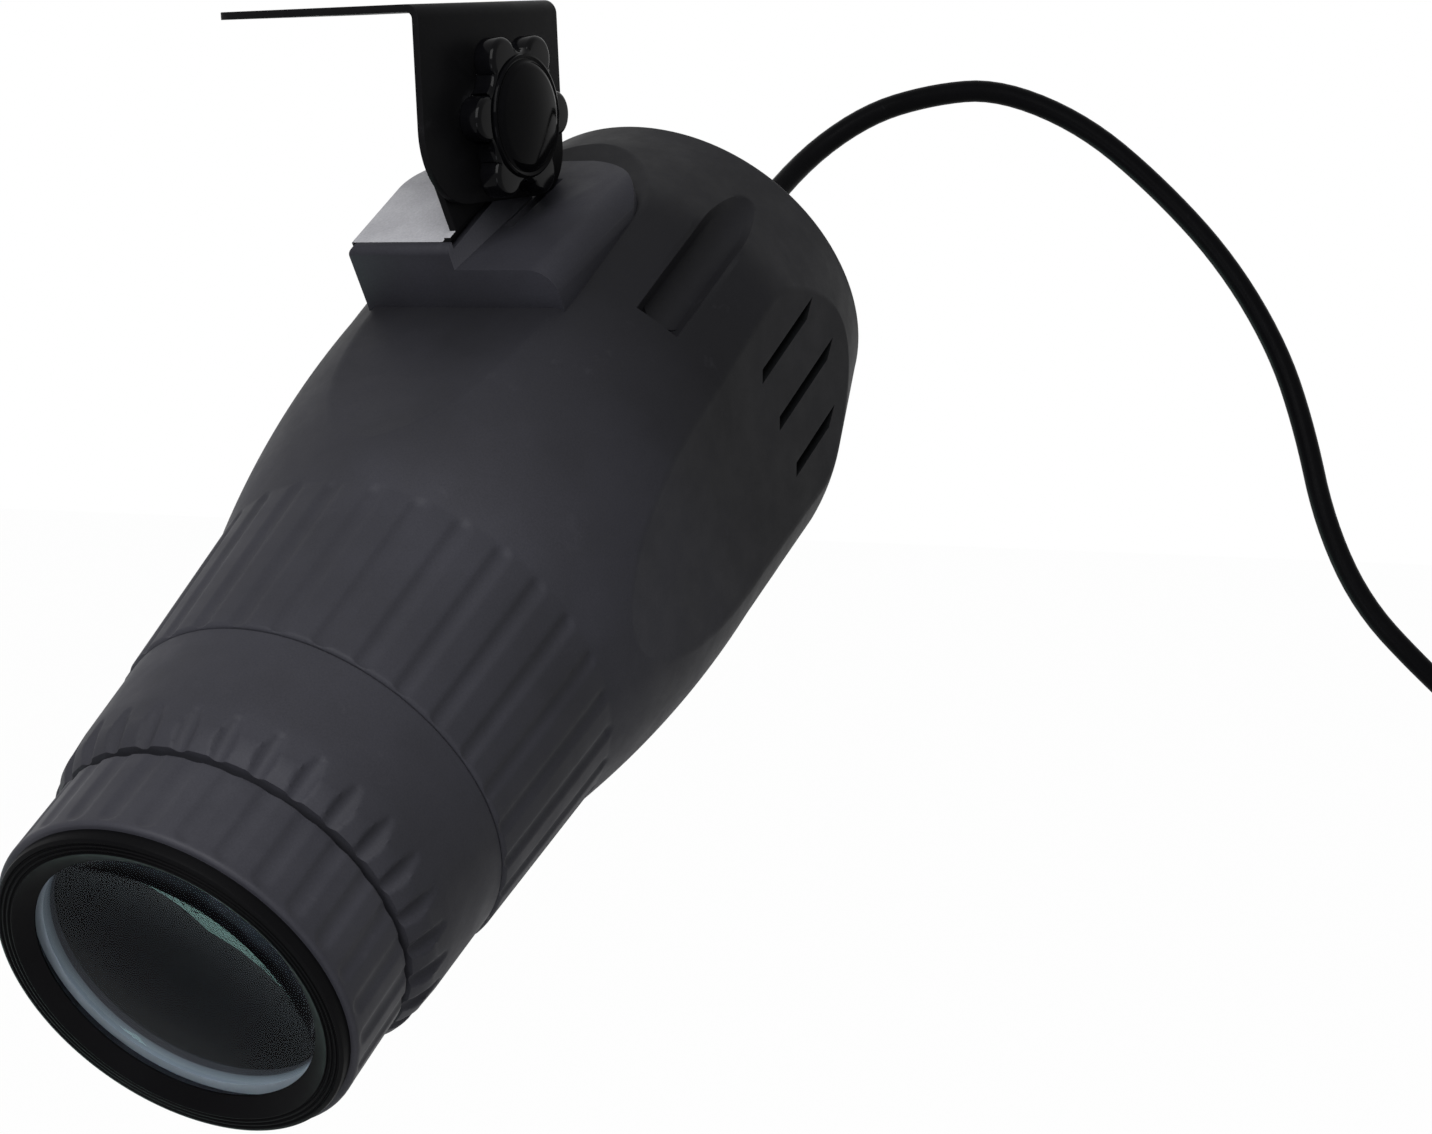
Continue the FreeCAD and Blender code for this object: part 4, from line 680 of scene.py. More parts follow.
def front_barrel():
    """The fluted collar, the smooth barrel behind it and the neck that goes into the housing."""
    collar_full = BARREL_FRONT + COLLAR_ROUND
    outline = [(TUBE_R + FIT, BARREL_FRONT), (COLLAR_FRONT_R, BARREL_FRONT)]
    outline += [(COLLAR_FRONT_R + (COLLAR_R - COLLAR_FRONT_R) * math.sin(t * math.pi / 2) ** COLLAR_SWELL,
                 BARREL_FRONT + COLLAR_ROUND * t) for t in COLLAR_ROUND_STEPS]
    outline += [(straight(back, (collar_full, COLLAR_R), (COLLAR_REAR, BARREL_MID_R)), back)
                for back in np.arange(collar_full + COLLAR_PITCH, COLLAR_REAR, COLLAR_PITCH)]
    outline += [(straight(back, (COLLAR_REAR, BARREL_MID_R), (BARREL_REAR, BARREL_REAR_R)), back)
                for back in BARREL_ROWS]
    outline += [(BARREL_REAR_R - inwards, BARREL_REAR - ahead) for inwards, ahead in BARREL_EDGE]
    outline += [(NECK_R, BARREL_REAR), (NECK_R, BARREL_REAR + NECK_LENGTH), (BARREL_BORE, BARREL_REAR + NECK_LENGTH),
                (BARREL_BORE, TUBE_SEAT_REAR), (TUBE_R + FIT, TUBE_SEAT_REAR)]
    barrel = turned("front_barrel_skin", outline, FINE_COLUMNS)
    grown(barrel, FLUTES, finish=MOULDED, **COLLAR_FLUTES)
    seated(barrel, "lamp_head", ["front_barrel"], MOULDED)


# Focus ring, bezel and front glass

RING_FLUTES = {"count": 30.0, "phase": 0.0, "start": 3.7, "end": 24.0, "start_radius": RING_R, "end_radius": RING_R,
               "width": 4.4, "depth": 0.6, "edge": 0.1}
# The ring's rounded front and rear edges: how far in, and how far from the edge's plane, each point lies
RING_FRONT_EDGE = [(0.8, 0.0), (0.5, 0.08), (0.2, 0.3), (0.04, 0.65)]
RING_REAR_EDGE = [(0.0, 0.4), (0.12, 0.12), (0.4, 0.0)]
RING_ROWS = [*np.arange(1.5, 6.4, 0.35), *np.arange(7.5, 19.6, 2.0)]
GLASS_STOP_FRONT = 7.5
GLASS_STOP_REAR = 9.5

BEZEL_FRONT = -2.3
BEZEL_COLUMNS = 256
BEZEL_BAND = 0.8
GROOVES = 3
GROOVE_PITCH = 0.95
# One groove of the bezel's stepped face: how far out and how deep each point lies
GROOVE = [(0.14, 0.04), (0.24, 0.32), (0.38, 0.42), (0.5, 0.42), (0.64, 0.32), (0.74, 0.1), (0.85, 0.0)]
BEZEL_EDGE = [(0.5, 0.04), (0.15, 0.3), (0.0, 0.8)]

GLASS_FRONT = 1.2
GLASS_REAR = 4.2
GLASS_CLEAR_R = VIEW_R - 0.35
GLASS_CHAMFER = 0.15
GLASS_FRONT_SPHERE = 160.0
GLASS_REAR_SPHERE = 95.0
GLASS_STEPS = 24


def focus_ring():
    """The fluted grip ring, open behind, with the stop that the glass rests on."""
    outline = [(GLASS_R + FIT, RING_FRONT)]
    outline += [(RING_R - inwards, RING_FRONT + behind) for inwards, behind in RING_FRONT_EDGE]
    outline += [(RING_R, back) for back in RING_ROWS]
    outline += [(RING_R - inwards, RING_REAR - ahead) for inwards, ahead in RING_REAR_EDGE]
    outline += [(TUBE_R + FIT, RING_REAR), (TUBE_R + FIT, GLASS_STOP_REAR), (VIEW_R, GLASS_STOP_REAR),
                (VIEW_R, GLASS_STOP_FRONT), (GLASS_R + FIT, GLASS_STOP_FRONT)]
    ring = turned("focus_ring_skin", outline, FINE_COLUMNS)
    grown(ring, FLUTES, finish=RIBBED, **RING_FLUTES)
    seated(ring, "focus_head", ["focus_ring"], RIBBED)


def front_bezel():
    """The bezel: a cone towards the glass, then a flat face with fine round grooves."""
    band = BEZEL_R - BEZEL_BAND - GROOVES * GROOVE_PITCH
    outline = [(VIEW_R, 0.15), (VIEW_R + 0.3, 0.0), (band - 0.5, BEZEL_FRONT + 0.2), (band, BEZEL_FRONT)]
    outline += [(band + GROOVE_PITCH * index + outwards, BEZEL_FRONT + deep)
                for index in range(GROOVES) for outwards, deep in GROOVE]
    outline += [(BEZEL_R - inwards, BEZEL_FRONT + behind) for inwards, behind in BEZEL_EDGE]
    outline += [(BEZEL_R, RING_FRONT), (VIEW_R, RING_FRONT)]
    bezel = turned("front_bezel_skin", outline, BEZEL_COLUMNS)
    seated(bezel, "focus_head", ["front_bezel"], MATT_BLACK)


def front_glass():
    """A bulging front face and a rounder rear face, finely divided so that highlights run smoothly."""
    def dome(sphere):
        """Radius and height of a domed face from the middle out, its height nought at the clear edge."""
        edge = math.sqrt(sphere ** 2 - GLASS_CLEAR_R ** 2)
        radii = [GLASS_CLEAR_R * k / GLASS_STEPS for k in range(GLASS_STEPS + 1)]
        return [(radius, math.sqrt(sphere ** 2 - radius ** 2) - edge) for radius in radii]

    outline = [(radius, GLASS_FRONT - height) for radius, height in dome(GLASS_FRONT_SPHERE)]
    outline += [(GLASS_R - GLASS_CHAMFER, GLASS_FRONT), (GLASS_R, GLASS_FRONT + GLASS_CHAMFER),
                (GLASS_R, GLASS_REAR - GLASS_CHAMFER), (GLASS_R - GLASS_CHAMFER, GLASS_REAR)]
    outline += [(radius, GLASS_REAR + height) for radius, height in reversed(dome(GLASS_REAR_SPHERE))]
    seated(turned("front_glass", outline), "focus_head", ["objective_lens"], COATED_GLASS)


# Star knob and its cap

LOBE_R = 4.8
LOBE_PLACE = 13.6
VALLEY_R = 4.5
HALF_LOBE = math.radians(30)
VALLEY_PLACE = (LOBE_PLACE * math.cos(HALF_LOBE)
                + math.sqrt((LOBE_R + VALLEY_R) ** 2 - (LOBE_PLACE * math.sin(HALF_LOBE)) ** 2))
KNOB_EDGE_R = 1.1
KNOB_EDGE_STEPS = 6
KNOB_COLUMNS = 384
KNOB_BORE = 5.0
# The hub behind the lobes and the shallow seat for the cap, as (radius, back)
KNOB_HUB = [(KNOB_BORE, KNOB_BACK - 0.9), (9.2, KNOB_BACK - 0.9), (9.5, KNOB_BACK - 0.6), (9.5, KNOB_BACK)]
KNOB_SEAT = [(12.0, KNOB_FRONT), (KNOB_BORE, KNOB_FRONT - 0.1), (KNOB_BORE, KNOB_FRONT - 0.5)]
# The cap's rim and the groove inside it, as (radius, height)
CAP_R = 13.0
CAP_RIM = [(0.0, 0.0), (CAP_R, 0.0), (CAP_R, 0.35), (12.85, 0.62), (12.45, 0.78), (12.1, 0.7), (11.8, 0.55),
           (11.5, 0.62), (11.2, 0.9)]
CAP_RISE = 1.9
CAP_TOP = 2.6
CAP_DOME = (10.8, 10.0, 8.5, 7.0, 5.0, 3.0, 1.5, 0.0)


def lobed(angle, inset):
    """Reach of the star's outline at an angle, drawn in by an inset."""
    off = abs((angle + HALF_LOBE) % (2 * HALF_LOBE) - HALF_LOBE)
    outer = (LOBE_R - inset) ** 2 - (LOBE_PLACE * math.sin(off)) ** 2
    inner = (VALLEY_R + inset) ** 2 - (VALLEY_PLACE * math.sin(HALF_LOBE - off)) ** 2
    on_lobe = LOBE_PLACE * math.cos(off) + math.sqrt(outer) if outer > 0 else math.inf
    in_valley = VALLEY_PLACE * math.cos(HALF_LOBE - off) - math.sqrt(inner) if inner > 0 else math.inf
    return min(on_lobe, in_valley)


def star_knob():
    """Six round lobes joined by round valleys, with rolled edges front and back, and the domed cap."""
    around = np.arange(KNOB_COLUMNS) * TURN / KNOB_COLUMNS
    rolls = [step / KNOB_EDGE_STEPS * math.pi / 2 for step in range(KNOB_EDGE_STEPS + 1)]
    sections = [(KNOB_EDGE_R * (1 - math.sin(a)), KNOB_BACK + KNOB_EDGE_R * (1 - math.cos(a))) for a in rolls]
    sections += [(KNOB_EDGE_R * (1 - math.cos(a)), KNOB_FRONT - KNOB_EDGE_R * (1 - math.sin(a))) for a in rolls]
    rings = [([radius] * KNOB_COLUMNS, back) for radius, back in KNOB_HUB]
    rings += [([lobed(a, inset) for a in around], back) for inset, back in sections]
    rings += [([radius] * KNOB_COLUMNS, back) for radius, back in KNOB_SEAT]
    points = [(radius * math.cos(a), back, radius * math.sin(a)) for radii, back in rings
              for radius, a in zip(radii, around)]
    knob = made_piece("star_knob_skin", points, skin(len(rings), KNOB_COLUMNS))
    seated(knob, "knob", ["star_knob"], POLISHED, KNOB)

    sphere = (CAP_R ** 2 + CAP_RISE ** 2) / (2 * CAP_RISE)
    cap = [(radius, KNOB_FRONT + height) for radius, height in CAP_RIM]
    cap += [(radius, KNOB_FRONT + CAP_TOP - (sphere - math.sqrt(sphere ** 2 - radius ** 2))) for radius in CAP_DOME]
    seated(turned("knob_cap_skin", cap), "knob", ["knob_cap"], POLISHED_CAP, KNOB)


# Cover screws and strain relief

# A pan head with a hexagon socket, as (radius, height, whether the ring is six-sided)
SCREW_COLUMNS = 24
SCREW = [(0.0, -5.0, True), (1.3, -5.0, False), (1.5, -4.7, False), (1.5, 0.0, False), (2.8, 0.0, False),
         (2.8, 0.9, False), (2.62, 1.35, False), (2.15, 1.68, False), (1.55, 1.7, False), (1.35, 1.66, True),
         (1.25, 0.8, True), (0.0, 0.62, True)]
SOCKET_FLAT = 0.95
SCREW_INSET = 2.8

RELIEF_R = 6.2
RELIEF_STEP = 0.54
RELIEF_RINGS = 5
RELIEF_FOOT = 3.0
RELIEF_ROUND = 0.3
RELIEF_COLUMNS = 64
# One flex ring and the groove behind it: how far in and how far back each point lies
RELIEF_BAND = [(0.0, 0.3), (0.0, 2.3), (0.2, 2.6)]
RELIEF_GROOVE = [(0.79, 2.95), (0.79, 4.1)]
RELIEF_END = [(3.8, BOOT_END - 1.6), (3.5, BOOT_END), (0.0, BOOT_END)]


def cover_screws():
    """The screw heads round the rear cover, one drawn and repeated."""
    points = []
    for radius, back, hexed in SCREW:
        for k in range(SCREW_COLUMNS):
            a = TURN * k / SCREW_COLUMNS
            off = (a + math.pi / 6) % (math.pi / 3) - math.pi / 6
            here = radius / math.cos(off) * SOCKET_FLAT if hexed else radius
            points.append((here * math.sin(a), back, here * math.cos(a)))
    screw = made_piece("cover_screw_heads", points, skin(len(SCREW), SCREW_COLUMNS, closed=False))
    grown(screw, CIRCLE, count=4.0, first=0.0, radius=COVER_R - SCREW_INSET, back=COVER_REAR, finish=BLACK_OXIDE)
    seated(screw, "lamp_head", ["cover_screws"], BLACK_OXIDE)


def strain_relief():
    """A tapered rubber boot with five flex rings, moulded round the lead."""
    outline = [(0.0, GLAND_REAR - RELIEF_FOOT), (RELIEF_R, GLAND_REAR - RELIEF_FOOT), (RELIEF_R, GLAND_REAR)]
    for index in range(RELIEF_RINGS):
        radius = RELIEF_R - RELIEF_STEP * index
        front = GLAND_REAR + (BOOT_END - GLAND_REAR) * index / RELIEF_RINGS
        shape = RELIEF_BAND + RELIEF_GROOVE if index < RELIEF_RINGS - 1 else RELIEF_BAND
        outline += [(radius - inwards, front + behind) for inwards, behind in shape]
    boot = turned("strain_relief_skin", softened(outline + RELIEF_END, RELIEF_ROUND), RELIEF_COLUMNS)
    boot.data.transform(Matrix.Translation((GLAND_OFFSET, 0, 0)))
    seated(boot, "lamp_head", ["strain_relief"], SOFT_RUBBER)


# Finishes

SOCKETS = {"level": "Specular IOR Level", "ior": "IOR", "metal": "Metallic", "coat": "Coat Weight",
           "under": "Subsurface Weight"}
SPOT_SIZE = 9.0
SPOT_TONE = "#6a6a6e"
# Painted shade: between these distances back from the glass, a finish's colour darkens to its rear tone
SHADE_FROM = 100.0
SHADE_TO = 165.0


def along_lamp(tree, place):
    """Distance back along the lamp's axis from the front glass, in millimetres."""
    axis = (LAMP.to_3x3() @ Vector((0, 1, 0))).normalized()
    start = (LAMP @ Vector((0, 0, 0))).dot(axis)
    along = node(tree, "ShaderNodeVectorMath", {0: place, 1: axis}, operation="DOT_PRODUCT").outputs["Value"]
    return maths(tree, "MULTIPLY_ADD", along, 1 / MM, -start / MM)


def blank_finish(name):
    """A finish without nodes: the material, its tree and the place on the piece."""
    made = bpy.data.materials.new(name)
    made.use_nodes = True
    made.node_tree.nodes.clear()
    return made, made.node_tree, node(made.node_tree, "ShaderNodeTexCoord").outputs["Object"]


def noise(tree, place, size, detail, rough=0.5):
    """Noise with a pattern of a real size in millimetres."""
    return node(tree, "ShaderNodeTexNoise", {"Vector": place, "Scale": 1 / (size * MM), "Detail": detail,
                                             "Roughness": rough}).outputs[0]


def ranged(tree, value, start, end, low=0.0, high=1.0, **settings):
    """The value taken from one range to another."""
    return node(tree, "ShaderNodeMapRange", {"Value": value, "From Min": start, "From Max": end, "To Min": low,
                                             "To Max": high}, **settings).outputs[0]


def blended(tree, share, first, second):
    """Two colours mixed by a share."""
    return node(tree, "ShaderNodeMix", {0: share, 6: first, 7: second}, data_type="RGBA").outputs[2]


def patterned(name, base, other, rough, grain, depth, patch=35.0, spread=0.06, streak=(1, 1, 1), wear=0.0,
              painted_rear_tone=1.0, **shader):
    """A finish with broad soft patches of two close tones, a fine grain of its own size, and paler spots.

    grain and patch are real sizes in millimetres, depth is the grain's height in millimetres. The rear tone is how much
    of the colour's lightness is left at the lamp's rear: a painted shade that darkens the colour towards the rear.
    """
    made, tree, place = blank_finish(name)
    stretched = node(tree, "ShaderNodeMapping", {"Vector": place, "Scale": streak}).outputs[0]
    broad = noise(tree, place, patch, 3.0, 0.55)
    fine = noise(tree, stretched, grain, 4.0, 0.6)
    spots = noise(tree, stretched, SPOT_SIZE, 6.0, 0.7)
    colour = blended(tree, ranged(tree, broad, 0.35, 0.65), linear(base), linear(other))
    speck = ranged(tree, fine, 0.3, 0.7, 0.88, 1.12)
    # Painted shade: the colour darkens along the lamp towards its rear
    shade = ranged(tree, along_lamp(tree, place), SHADE_FROM, SHADE_TO, 1.0, painted_rear_tone)
    grained = node(tree, "ShaderNodeVectorMath", {0: colour, "Scale": maths(tree, "MULTIPLY", speck, shade)},
                   operation="SCALE").outputs[0]
    spotted = blended(tree, ranged(tree, spots, 0.62, 0.78, 0.0, wear), grained, linear(SPOT_TONE))
    dull = ranged(tree, spots, 0.3, 0.7, rough - spread, rough + spread)
    height = node(tree, "ShaderNodeBump", {"Height": fine, "Strength": 1.0, "Distance": depth * MM}).outputs[0]
    face = node(tree, "ShaderNodeBsdfPrincipled", {"Base Color": spotted, "Roughness": dull, "Normal": height,
                                                   **{SOCKETS[key]: value for key, value in shader.items()}})
    node(tree, "ShaderNodeOutputMaterial", {"Surface": face.outputs[0]})
    return made


# Satin moulded ABS with a fine spark-eroded grain: soft wide highlights and a faint blue cast in the charcoal, with a
# painted shade that darkens it towards the lamp's rear
MOULDED = patterned("moulded_abs_charcoal", "#27272b", "#2d2d32", 0.55, 0.35, 0.008, wear=0.06, painted_rear_tone=0.25,
                    level=0.06, ior=1.53)
# The same plastic on the grip ring, a little smoother, so its ridges catch a slightly clearer light
RIBBED = patterned("moulded_abs_grip", "#28282d", "#2f2f34", 0.50, 0.35, 0.008, patch=22.0, wear=0.10,
                   level=0.08, ior=1.53)
# Matt black plastic round the glass: a dark rim that hides stray light
MATT_BLACK = patterned("matt_black_bezel_plastic", "#060607", "#09090a", 0.45, 0.4, 0.006, level=0.02, ior=1.53)
# Moulded block under the ear: the same dull charcoal with a slightly coarser grain
SADDLE_PLASTIC = patterned("moulded_abs_saddle", "#212125", "#27272c", 0.55, 0.45, 0.010, wear=0.06,
                           level=0.06, ior=1.53)
# A paler grey of that plastic for the block's walls beside the leg: painted light over the shade of leg and knob
SADDLE_PAINTED_LIGHT = patterned("rubbed_abs_saddle", "#3c3c41", "#45454a", 0.60, 0.45, 0.010, wear=0.1,
                           level=0.06, ior=1.53)
# Black polyester powder coat on steel: slight orange peel and a low sheen
BLACK_POWDER = patterned("black_powder_coat", "#0b0b0c", "#0f0f10", 0.45, 0.8, 0.012, wear=0.05, level=0.02, ior=1.5)
# Black powder coat painted pale grey: a painted sheen for the light that grazes its coarse grains
EAR_FOOT_PAINTED_SHEEN = patterned("grey_textured_powder_coat", "#7e7e82", "#8c8c90", 0.50, 0.55, 0.090, patch=14.0, spread=0.1,
                        level=0.6, ior=1.5)
# Polished phenolic resin: near black, with sharp highlights on every edge
POLISHED = patterned("polished_black_phenolic", "#040405", "#060607", 0.11, 1.2, 0.003, spread=0.04, wear=0.03,
                     level=0.04, ior=1.6)
# The same resin on the cap, which mirrors less of the room
POLISHED_CAP = patterned("moulded_black_phenolic_cap", "#040405", "#060607", 0.09, 1.2, 0.003, spread=0.04,
                         wear=0.03, level=0.014, ior=1.6)
# Blackened steel: dark, with a dull metal gleam on the heads' edges
BLACK_OXIDE = patterned("black_oxide_steel", "#1b1b1d", "#242426", 0.38, 0.3, 0.004, patch=4.0, wear=0.2, metal=0.7)
# Bright zinc plate with a faint blue passivation
ZINC = patterned("zinc_plated_steel", "#b4b8be", "#c4c6c8", 0.30, 0.4, 0.004, patch=5.0, metal=1.0)
# Turned brass: warm yellow with fine tool lines
BRASS = patterned("turned_brass", "#b08a45", "#c29c56", 0.26, 0.25, 0.004, patch=5.0, streak=(4, 1, 1), metal=1.0)
# Nickel plate on the plug's pins: a warm bright silver
NICKEL = patterned("nickel_plated_brass", "#c2bfb6", "#cfccc4", 0.20, 0.5, 0.003, patch=6.0, metal=1.0)
# Uncoloured nylon: milky, with light inside its edges
NATURAL_NYLON = patterned("natural_nylon", "#cfcbbf", "#dad7cc", 0.45, 0.5, 0.006, patch=6.0, under=0.2, ior=1.53)
# Flexible PVC sheath: nearly smooth, a long soft highlight and faint marks
SHEATH = patterned("black_pvc_sheath", "#050506", "#070708", 0.34, 0.9, 0.008, patch=30.0, spread=0.08, wear=0.05,
                   level=0.02, ior=1.53)
# Soft rubber of the relief and the plug's boot: dull, almost without highlights
SOFT_RUBBER = patterned("moulded_soft_rubber", "#121213", "#18181a", 0.62, 0.4, 0.010, patch=8.0, wear=0.05,
                        level=0.15, ior=1.52)
# Black nylon of gland and tie: harder and a little shinier than the rubber
GLAND_NYLON = patterned("moulded_nylon_black", "#151517", "#1b1b1e", 0.42, 0.4, 0.008, patch=9.0, wear=0.08,
                        level=0.2, ior=1.53)
# Moulded PVC of the plug: black with a soft shine
PLUG_PVC = patterned("moulded_pvc_plug", "#141416", "#1b1b1d", 0.44, 0.5, 0.010, patch=12.0, wear=0.08,
                     level=0.2, ior=1.53)
# Matt black inside of the optical tube: it swallows light
BAFFLE = patterned("baffle_black", "#08090a", "#0c0d0e", 0.75, 0.6, 0.004, level=0.05)
# Black anodised aluminium: dark with a metal sheen
ANODISED = patterned("black_anodised_aluminium", "#121214", "#19191b", 0.38, 0.3, 0.005, patch=6.0, metal=0.6)
# Metallised reflector: a bright, nearly sharp mirror
METALLISED = patterned("metallised_reflector", "#cfd1d5", "#dadbdd", 0.12, 1.0, 0.006, patch=6.0, metal=1.0)
# White solder mask: an even, slightly glossy white
WHITE_MASK = patterned("white_solder_mask", "#dcdcd8", "#e4e4e0", 0.32, 0.5, 0.006, patch=8.0)
# Yellow phosphor under clear silicone: a glossy egg yellow
PHOSPHOR = patterned("silicone_over_phosphor", "#d9b845", "#e3c65c", 0.16, 0.6, 0.010, patch=3.0, coat=0.8)
# Extruded aluminium: pale grey with fine lines along the fins
EXTRUDED = patterned("extruded_aluminium", "#a9abad", "#b7b8ba", 0.36, 0.5, 0.008, patch=18.0, streak=(4, 0.3, 4),
                     metal=1.0)
# Glass-filled nylon of the fan: black with a fine dry grain
FAN_PLASTIC = patterned("glass_filled_nylon", "#17171a", "#202023", 0.48, 0.3, 0.010, patch=15.0, ior=1.55)
# Green solder mask: a clear lacquer over green
GREEN_MASK = patterned("green_solder_mask", "#0f4a26", "#15562e", 0.30, 0.7, 0.012, patch=9.0, coat=0.3)
# Polyester tape round the windings: a smooth amber
WINDING_TAPE = patterned("polyester_winding_tape", "#a8862c", "#b8963a", 0.28, 0.6, 0.010, patch=5.0)
# Shrunk sleeve of the capacitors: a shiny dark blue
SHRUNK_SLEEVE = patterned("shrunk_pvc_sleeve", "#1c2448", "#232c55", 0.26, 0.8, 0.006, patch=6.0)
# Green nylon of the terminal block: a plain satin green
GREEN_NYLON = patterned("moulded_terminal_nylon", "#1c5a34", "#236540", 0.42, 0.4, 0.008, patch=5.0)
# Moulded epoxy of the chips: a dull grey-black
EPOXY = patterned("moulded_epoxy_chip", "#1a1a1b", "#202021", 0.50, 0.2, 0.008, patch=3.0)


def coated_glass(name, tint, sheen, index):
    """Polished glass. Its coating lets almost no light bounce off, so the IOR is low."""
    made, tree, _ = blank_finish(name)
    face = node(tree, "ShaderNodeBsdfPrincipled", {"Base Color": linear(tint), "Roughness": 0.0, "IOR": index,
                                                   "Transmission Weight": 1.0, "Specular Tint": linear(sheen)})
    node(tree, "ShaderNodeOutputMaterial", {"Surface": face.outputs[0]})
    return made


# Coated crown glass: clear, with a faint blue in what it mirrors
COATED_GLASS = coated_glass("coated_crown_glass", "#e4ecf0", "#86b4dc", 1.10)
# The lenses inside: clear, with hardly a reflection
CLEAR_GLASS = coated_glass("polished_inner_glass", "#dfe9f2", "#7fc8d8", 1.04)


def tube_with_painted_light(name, pale, dark, near, far):
    """Satin grey at the tube's mouth that fades into matt black further in: painted light at the mouth and painted
    shade deeper in the tube.
    """
    made, tree, place = blank_finish(name)
    share = ranged(tree, along_lamp(tree, place), near, far, interpolation_type="SMOOTHSTEP")
    rough = ranged(tree, noise(tree, place, 0.5, 3.0), 0.0, 1.0, 0.58, 0.62)
    face = node(tree, "ShaderNodeBsdfPrincipled", {"Base Color": blended(tree, share, linear(pale), linear(dark)),
                                                   "Roughness": rough, "Specular IOR Level": 0.02})
    node(tree, "ShaderNodeOutputMaterial", {"Surface": face.outputs[0]})
    return made


# The pale ring that shows through the front glass, gone to black 11 mm behind it: painted light at the mouth, painted
# shade further in
TUBE_PAINTED_LIGHT_AND_SHADE = tube_with_painted_light("satin_grey_tube", "#8f959d", "#030304", 3.0, 11.0)

FLUTES = flute_tree()
CIRCLE = circle_tree()

KEPT_NODES = {
    "pivot_bolt": ZINC, "clamp_washer": ZINC, "saddle_screws": ZINC, "foot_screws": ZINC, "heat_sink_screws": ZINC,
    "optic_screws": ZINC, "fan_screws": ZINC, "friction_washer": NATURAL_NYLON, "knob_insert": BRASS,
    "field_lens": CLEAR_GLASS, "condenser_lens": CLEAR_GLASS, "lens_retainer": TUBE_PAINTED_LIGHT_AND_SHADE, "lens_tube": TUBE_PAINTED_LIGHT_AND_SHADE,
    "field_lens_ring": BAFFLE, "optic_mount": BAFFLE, "gate_ring": BAFFLE, "beam_gate": ANODISED,
    "reflector": METALLISED, "led_board": WHITE_MASK, "led_emitter": PHOSPHOR, "heat_sink": EXTRUDED,
    "fan_frame": FAN_PLASTIC, "fan_rotor": FAN_PLASTIC, "driver_board": GREEN_MASK, "board_standoffs": NATURAL_NYLON,
    "transformer": WINDING_TAPE, "capacitors": SHRUNK_SLEEVE, "terminal_block": GREEN_NYLON, "driver_chips": EPOXY,
    "gland_locknut": GLAND_NYLON, "plug_boot": SOFT_RUBBER, "plug_pins": NICKEL,
}
for name, finish in KEPT_NODES.items():
    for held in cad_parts[name].material_slots:
        held.material = finish

main_housing()
front_barrel()
focus_ring()
front_bezel()
front_glass()
star_knob()
cover_screws()
strain_relief()
edged("ceiling_bracket", "ceiling_bracket", BLACK_POWDER, 0.3)
ear = edged("ear_bracket", "lamp_head", BLACK_POWDER, 0.3)
# The top of the ear's foot is painted bright grey and grainy: a painted sheen where the light grazes it
second_finish(ear, EAR_FOOT_PAINTED_SHEEN, lambda place, facing: facing.z > 0.9 and place.z < 70)
saddle = edged("bracket_saddle", "lamp_head", SADDLE_PLASTIC, 0.35)
# The walls of the slot for the leg are paler than the rest of the saddle: painted light over the shade that leg and
# knob cast
second_finish(saddle, SADDLE_PAINTED_LIGHT, lambda place, facing: facing.x > 0.8 and place.x < 14 and place.z > FLAT_REACH)
edged("rear_cover", "lamp_head", MOULDED, 0.3)
edged("cable_gland", "lamp_head", GLAND_NYLON, 0.35)
plug = edged("plug_body", "lamp_head", PLUG_PVC, 0.9)
tie = edged("coil_tie", "lamp_head", GLAND_NYLON, 0.2)
lead.data.materials.append(SHEATH)


# Stage and light

WORLD_STRENGTH = 0.11
PAPER_WHITE = 0.985
PAPER_FIBRE = 4.0
FLOOR_HALF = 3000
FLOOR_LOW = -620
# Each light's name, place, aim, width and height, watts, colour, and whether it also lights matt surfaces. The strip
# is a narrow one low on the left, whose mirror image curves along the upper right of the glass.
LIGHTS = [
    ("key", (280, -880, 540), (20, -80, -120), (900, 900), 22, "#ffffff", True),
    ("fill", (150, -950, -500), (20, -120, -180), (400, 400), 1.8, "#f4f7ff", True),
    ("strip", (-377, 104, -515), (20, -120, -180), (320, 500), 2.2, "#bdf2e4", False),
]


def seen_share(tree):
    """One for what the camera sees straight, through glass or mirrored, and nought for the light on matt surfaces."""
    path = node(tree, "ShaderNodeLightPath").outputs
    direct = maths(tree, "MAXIMUM", path["Is Camera Ray"], path["Is Transmission Ray"])
    return maths(tree, "MAXIMUM", direct, path["Is Glossy Ray"])


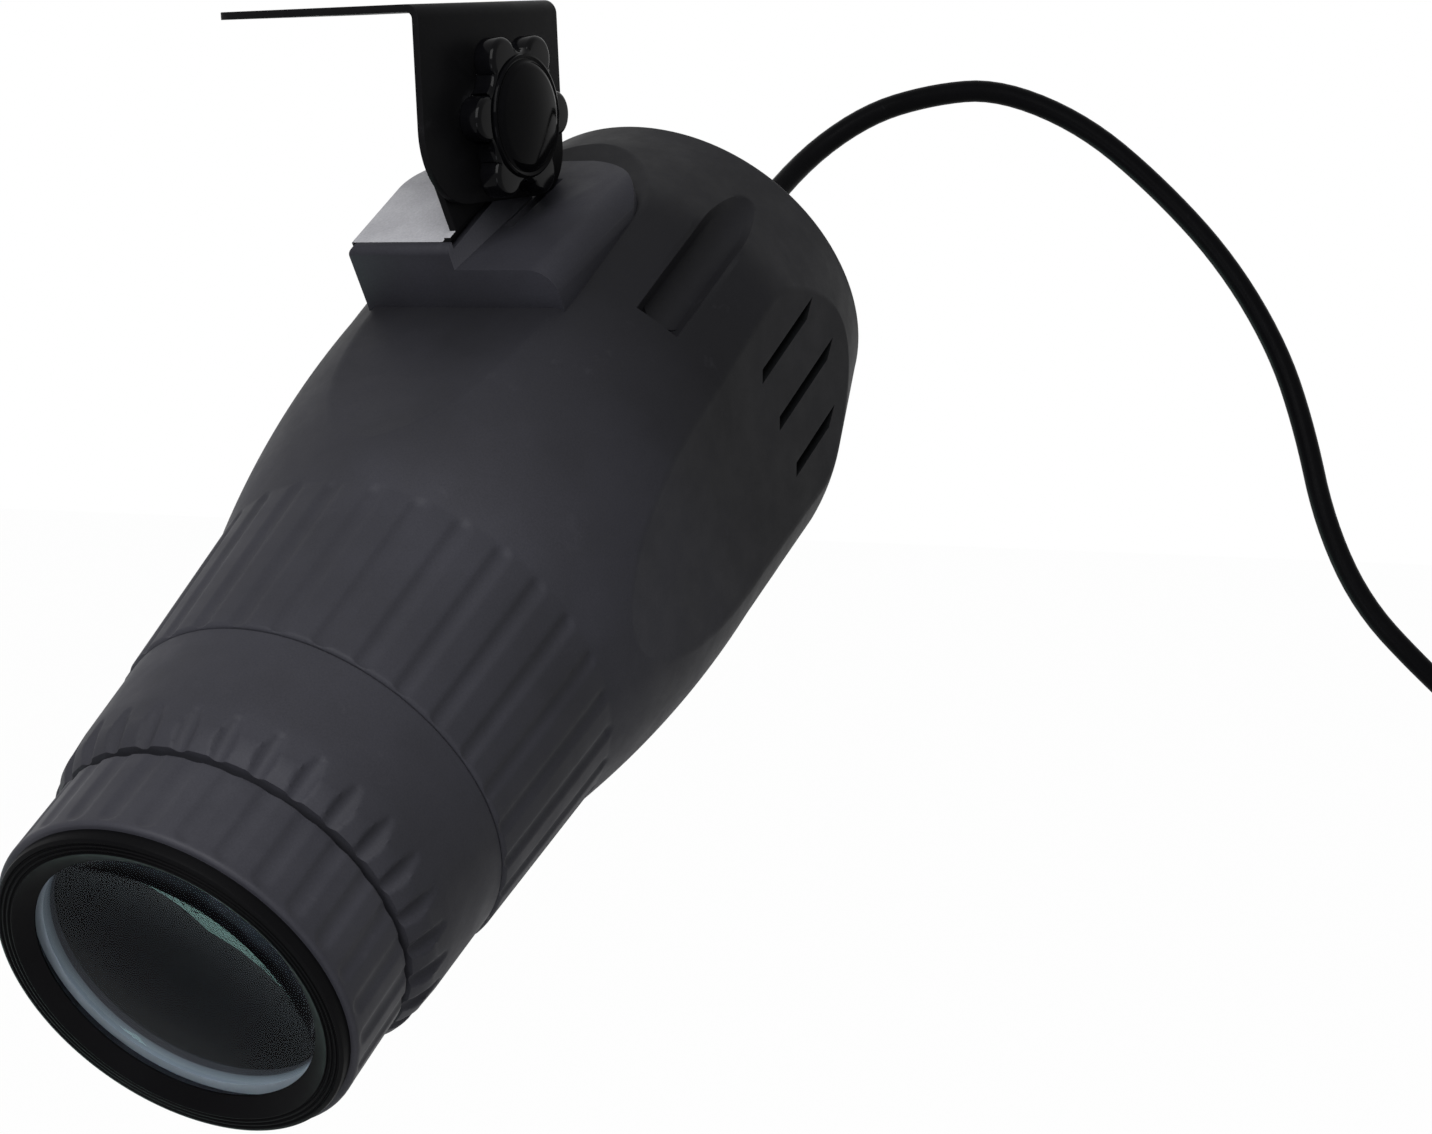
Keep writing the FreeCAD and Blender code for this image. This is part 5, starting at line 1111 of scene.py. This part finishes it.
def studio_world():
    """A room that looks white and lights dimly."""
    world = bpy.data.worlds.new("studio")
    bpy.context.scene.world = world
    world.use_nodes = True
    tree = world.node_tree
    tree.nodes.clear()
    dim = node(tree, "ShaderNodeBackground", {"Color": linear("#d8dce2"), "Strength": WORLD_STRENGTH})
    white = node(tree, "ShaderNodeBackground", {"Color": (1, 1, 1, 1), "Strength": 1.0})
    mixed = node(tree, "ShaderNodeMixShader", {0: seen_share(tree), 1: dim.outputs[0], 2: white.outputs[0]})
    node(tree, "ShaderNodeOutputWorld", {"Surface": mixed.outputs[0]})


def paper_floor():
    """Pale seamless paper, which the camera sees as nearly white with a trace of shadow."""
    paper, tree, place = blank_finish("pale_seamless_paper")
    share = maths(tree, "MULTIPLY", seen_share(tree), PAPER_WHITE)
    tone = blended(tree, noise(tree, place, PAPER_FIBRE, 4.0), linear("#e9e9ea"), linear("#f1f1f1"))
    matt = node(tree, "ShaderNodeBsdfPrincipled", {"Base Color": tone, "Roughness": 0.9})
    glow = node(tree, "ShaderNodeEmission", {"Color": (1, 1, 1, 1), "Strength": 1.0})
    mixed = node(tree, "ShaderNodeMixShader", {0: share, 1: matt.outputs[0], 2: glow.outputs[0]})
    node(tree, "ShaderNodeOutputMaterial", {"Surface": mixed.outputs[0]})
    half, low = FLOOR_HALF * MM, FLOOR_LOW * MM
    mesh = bpy.data.meshes.new("floor")
    mesh.from_pydata([(-half, -half, low), (half, -half, low), (half, half, low), (-half, half, low)], [],
                     [(0, 1, 2, 3)])
    floor = bpy.data.objects.new("floor", mesh)
    floor.data.materials.append(paper)
    bpy.context.scene.collection.objects.link(floor)


def soft_box(name, place, target, size, power, tint, lit):
    """A rectangular area light that is aimed at a point."""
    data = bpy.data.lights.new(name, "AREA")
    data.shape = "RECTANGLE"
    data.size, data.size_y = (side * MM for side in size)
    data.energy = power
    data.color = linear(tint)[:3]
    lamp = bpy.data.objects.new(name, data)
    lamp.location = Vector(place) * MM
    lamp.visible_diffuse = lit
    lamp.rotation_euler = (Vector(target) - Vector(place)).to_track_quat("-Z", "Y").to_euler()
    bpy.context.scene.collection.objects.link(lamp)


studio_world()
paper_floor()
for light in LIGHTS:
    soft_box(*light)
bpy.context.scene.view_settings.view_transform = "Standard"
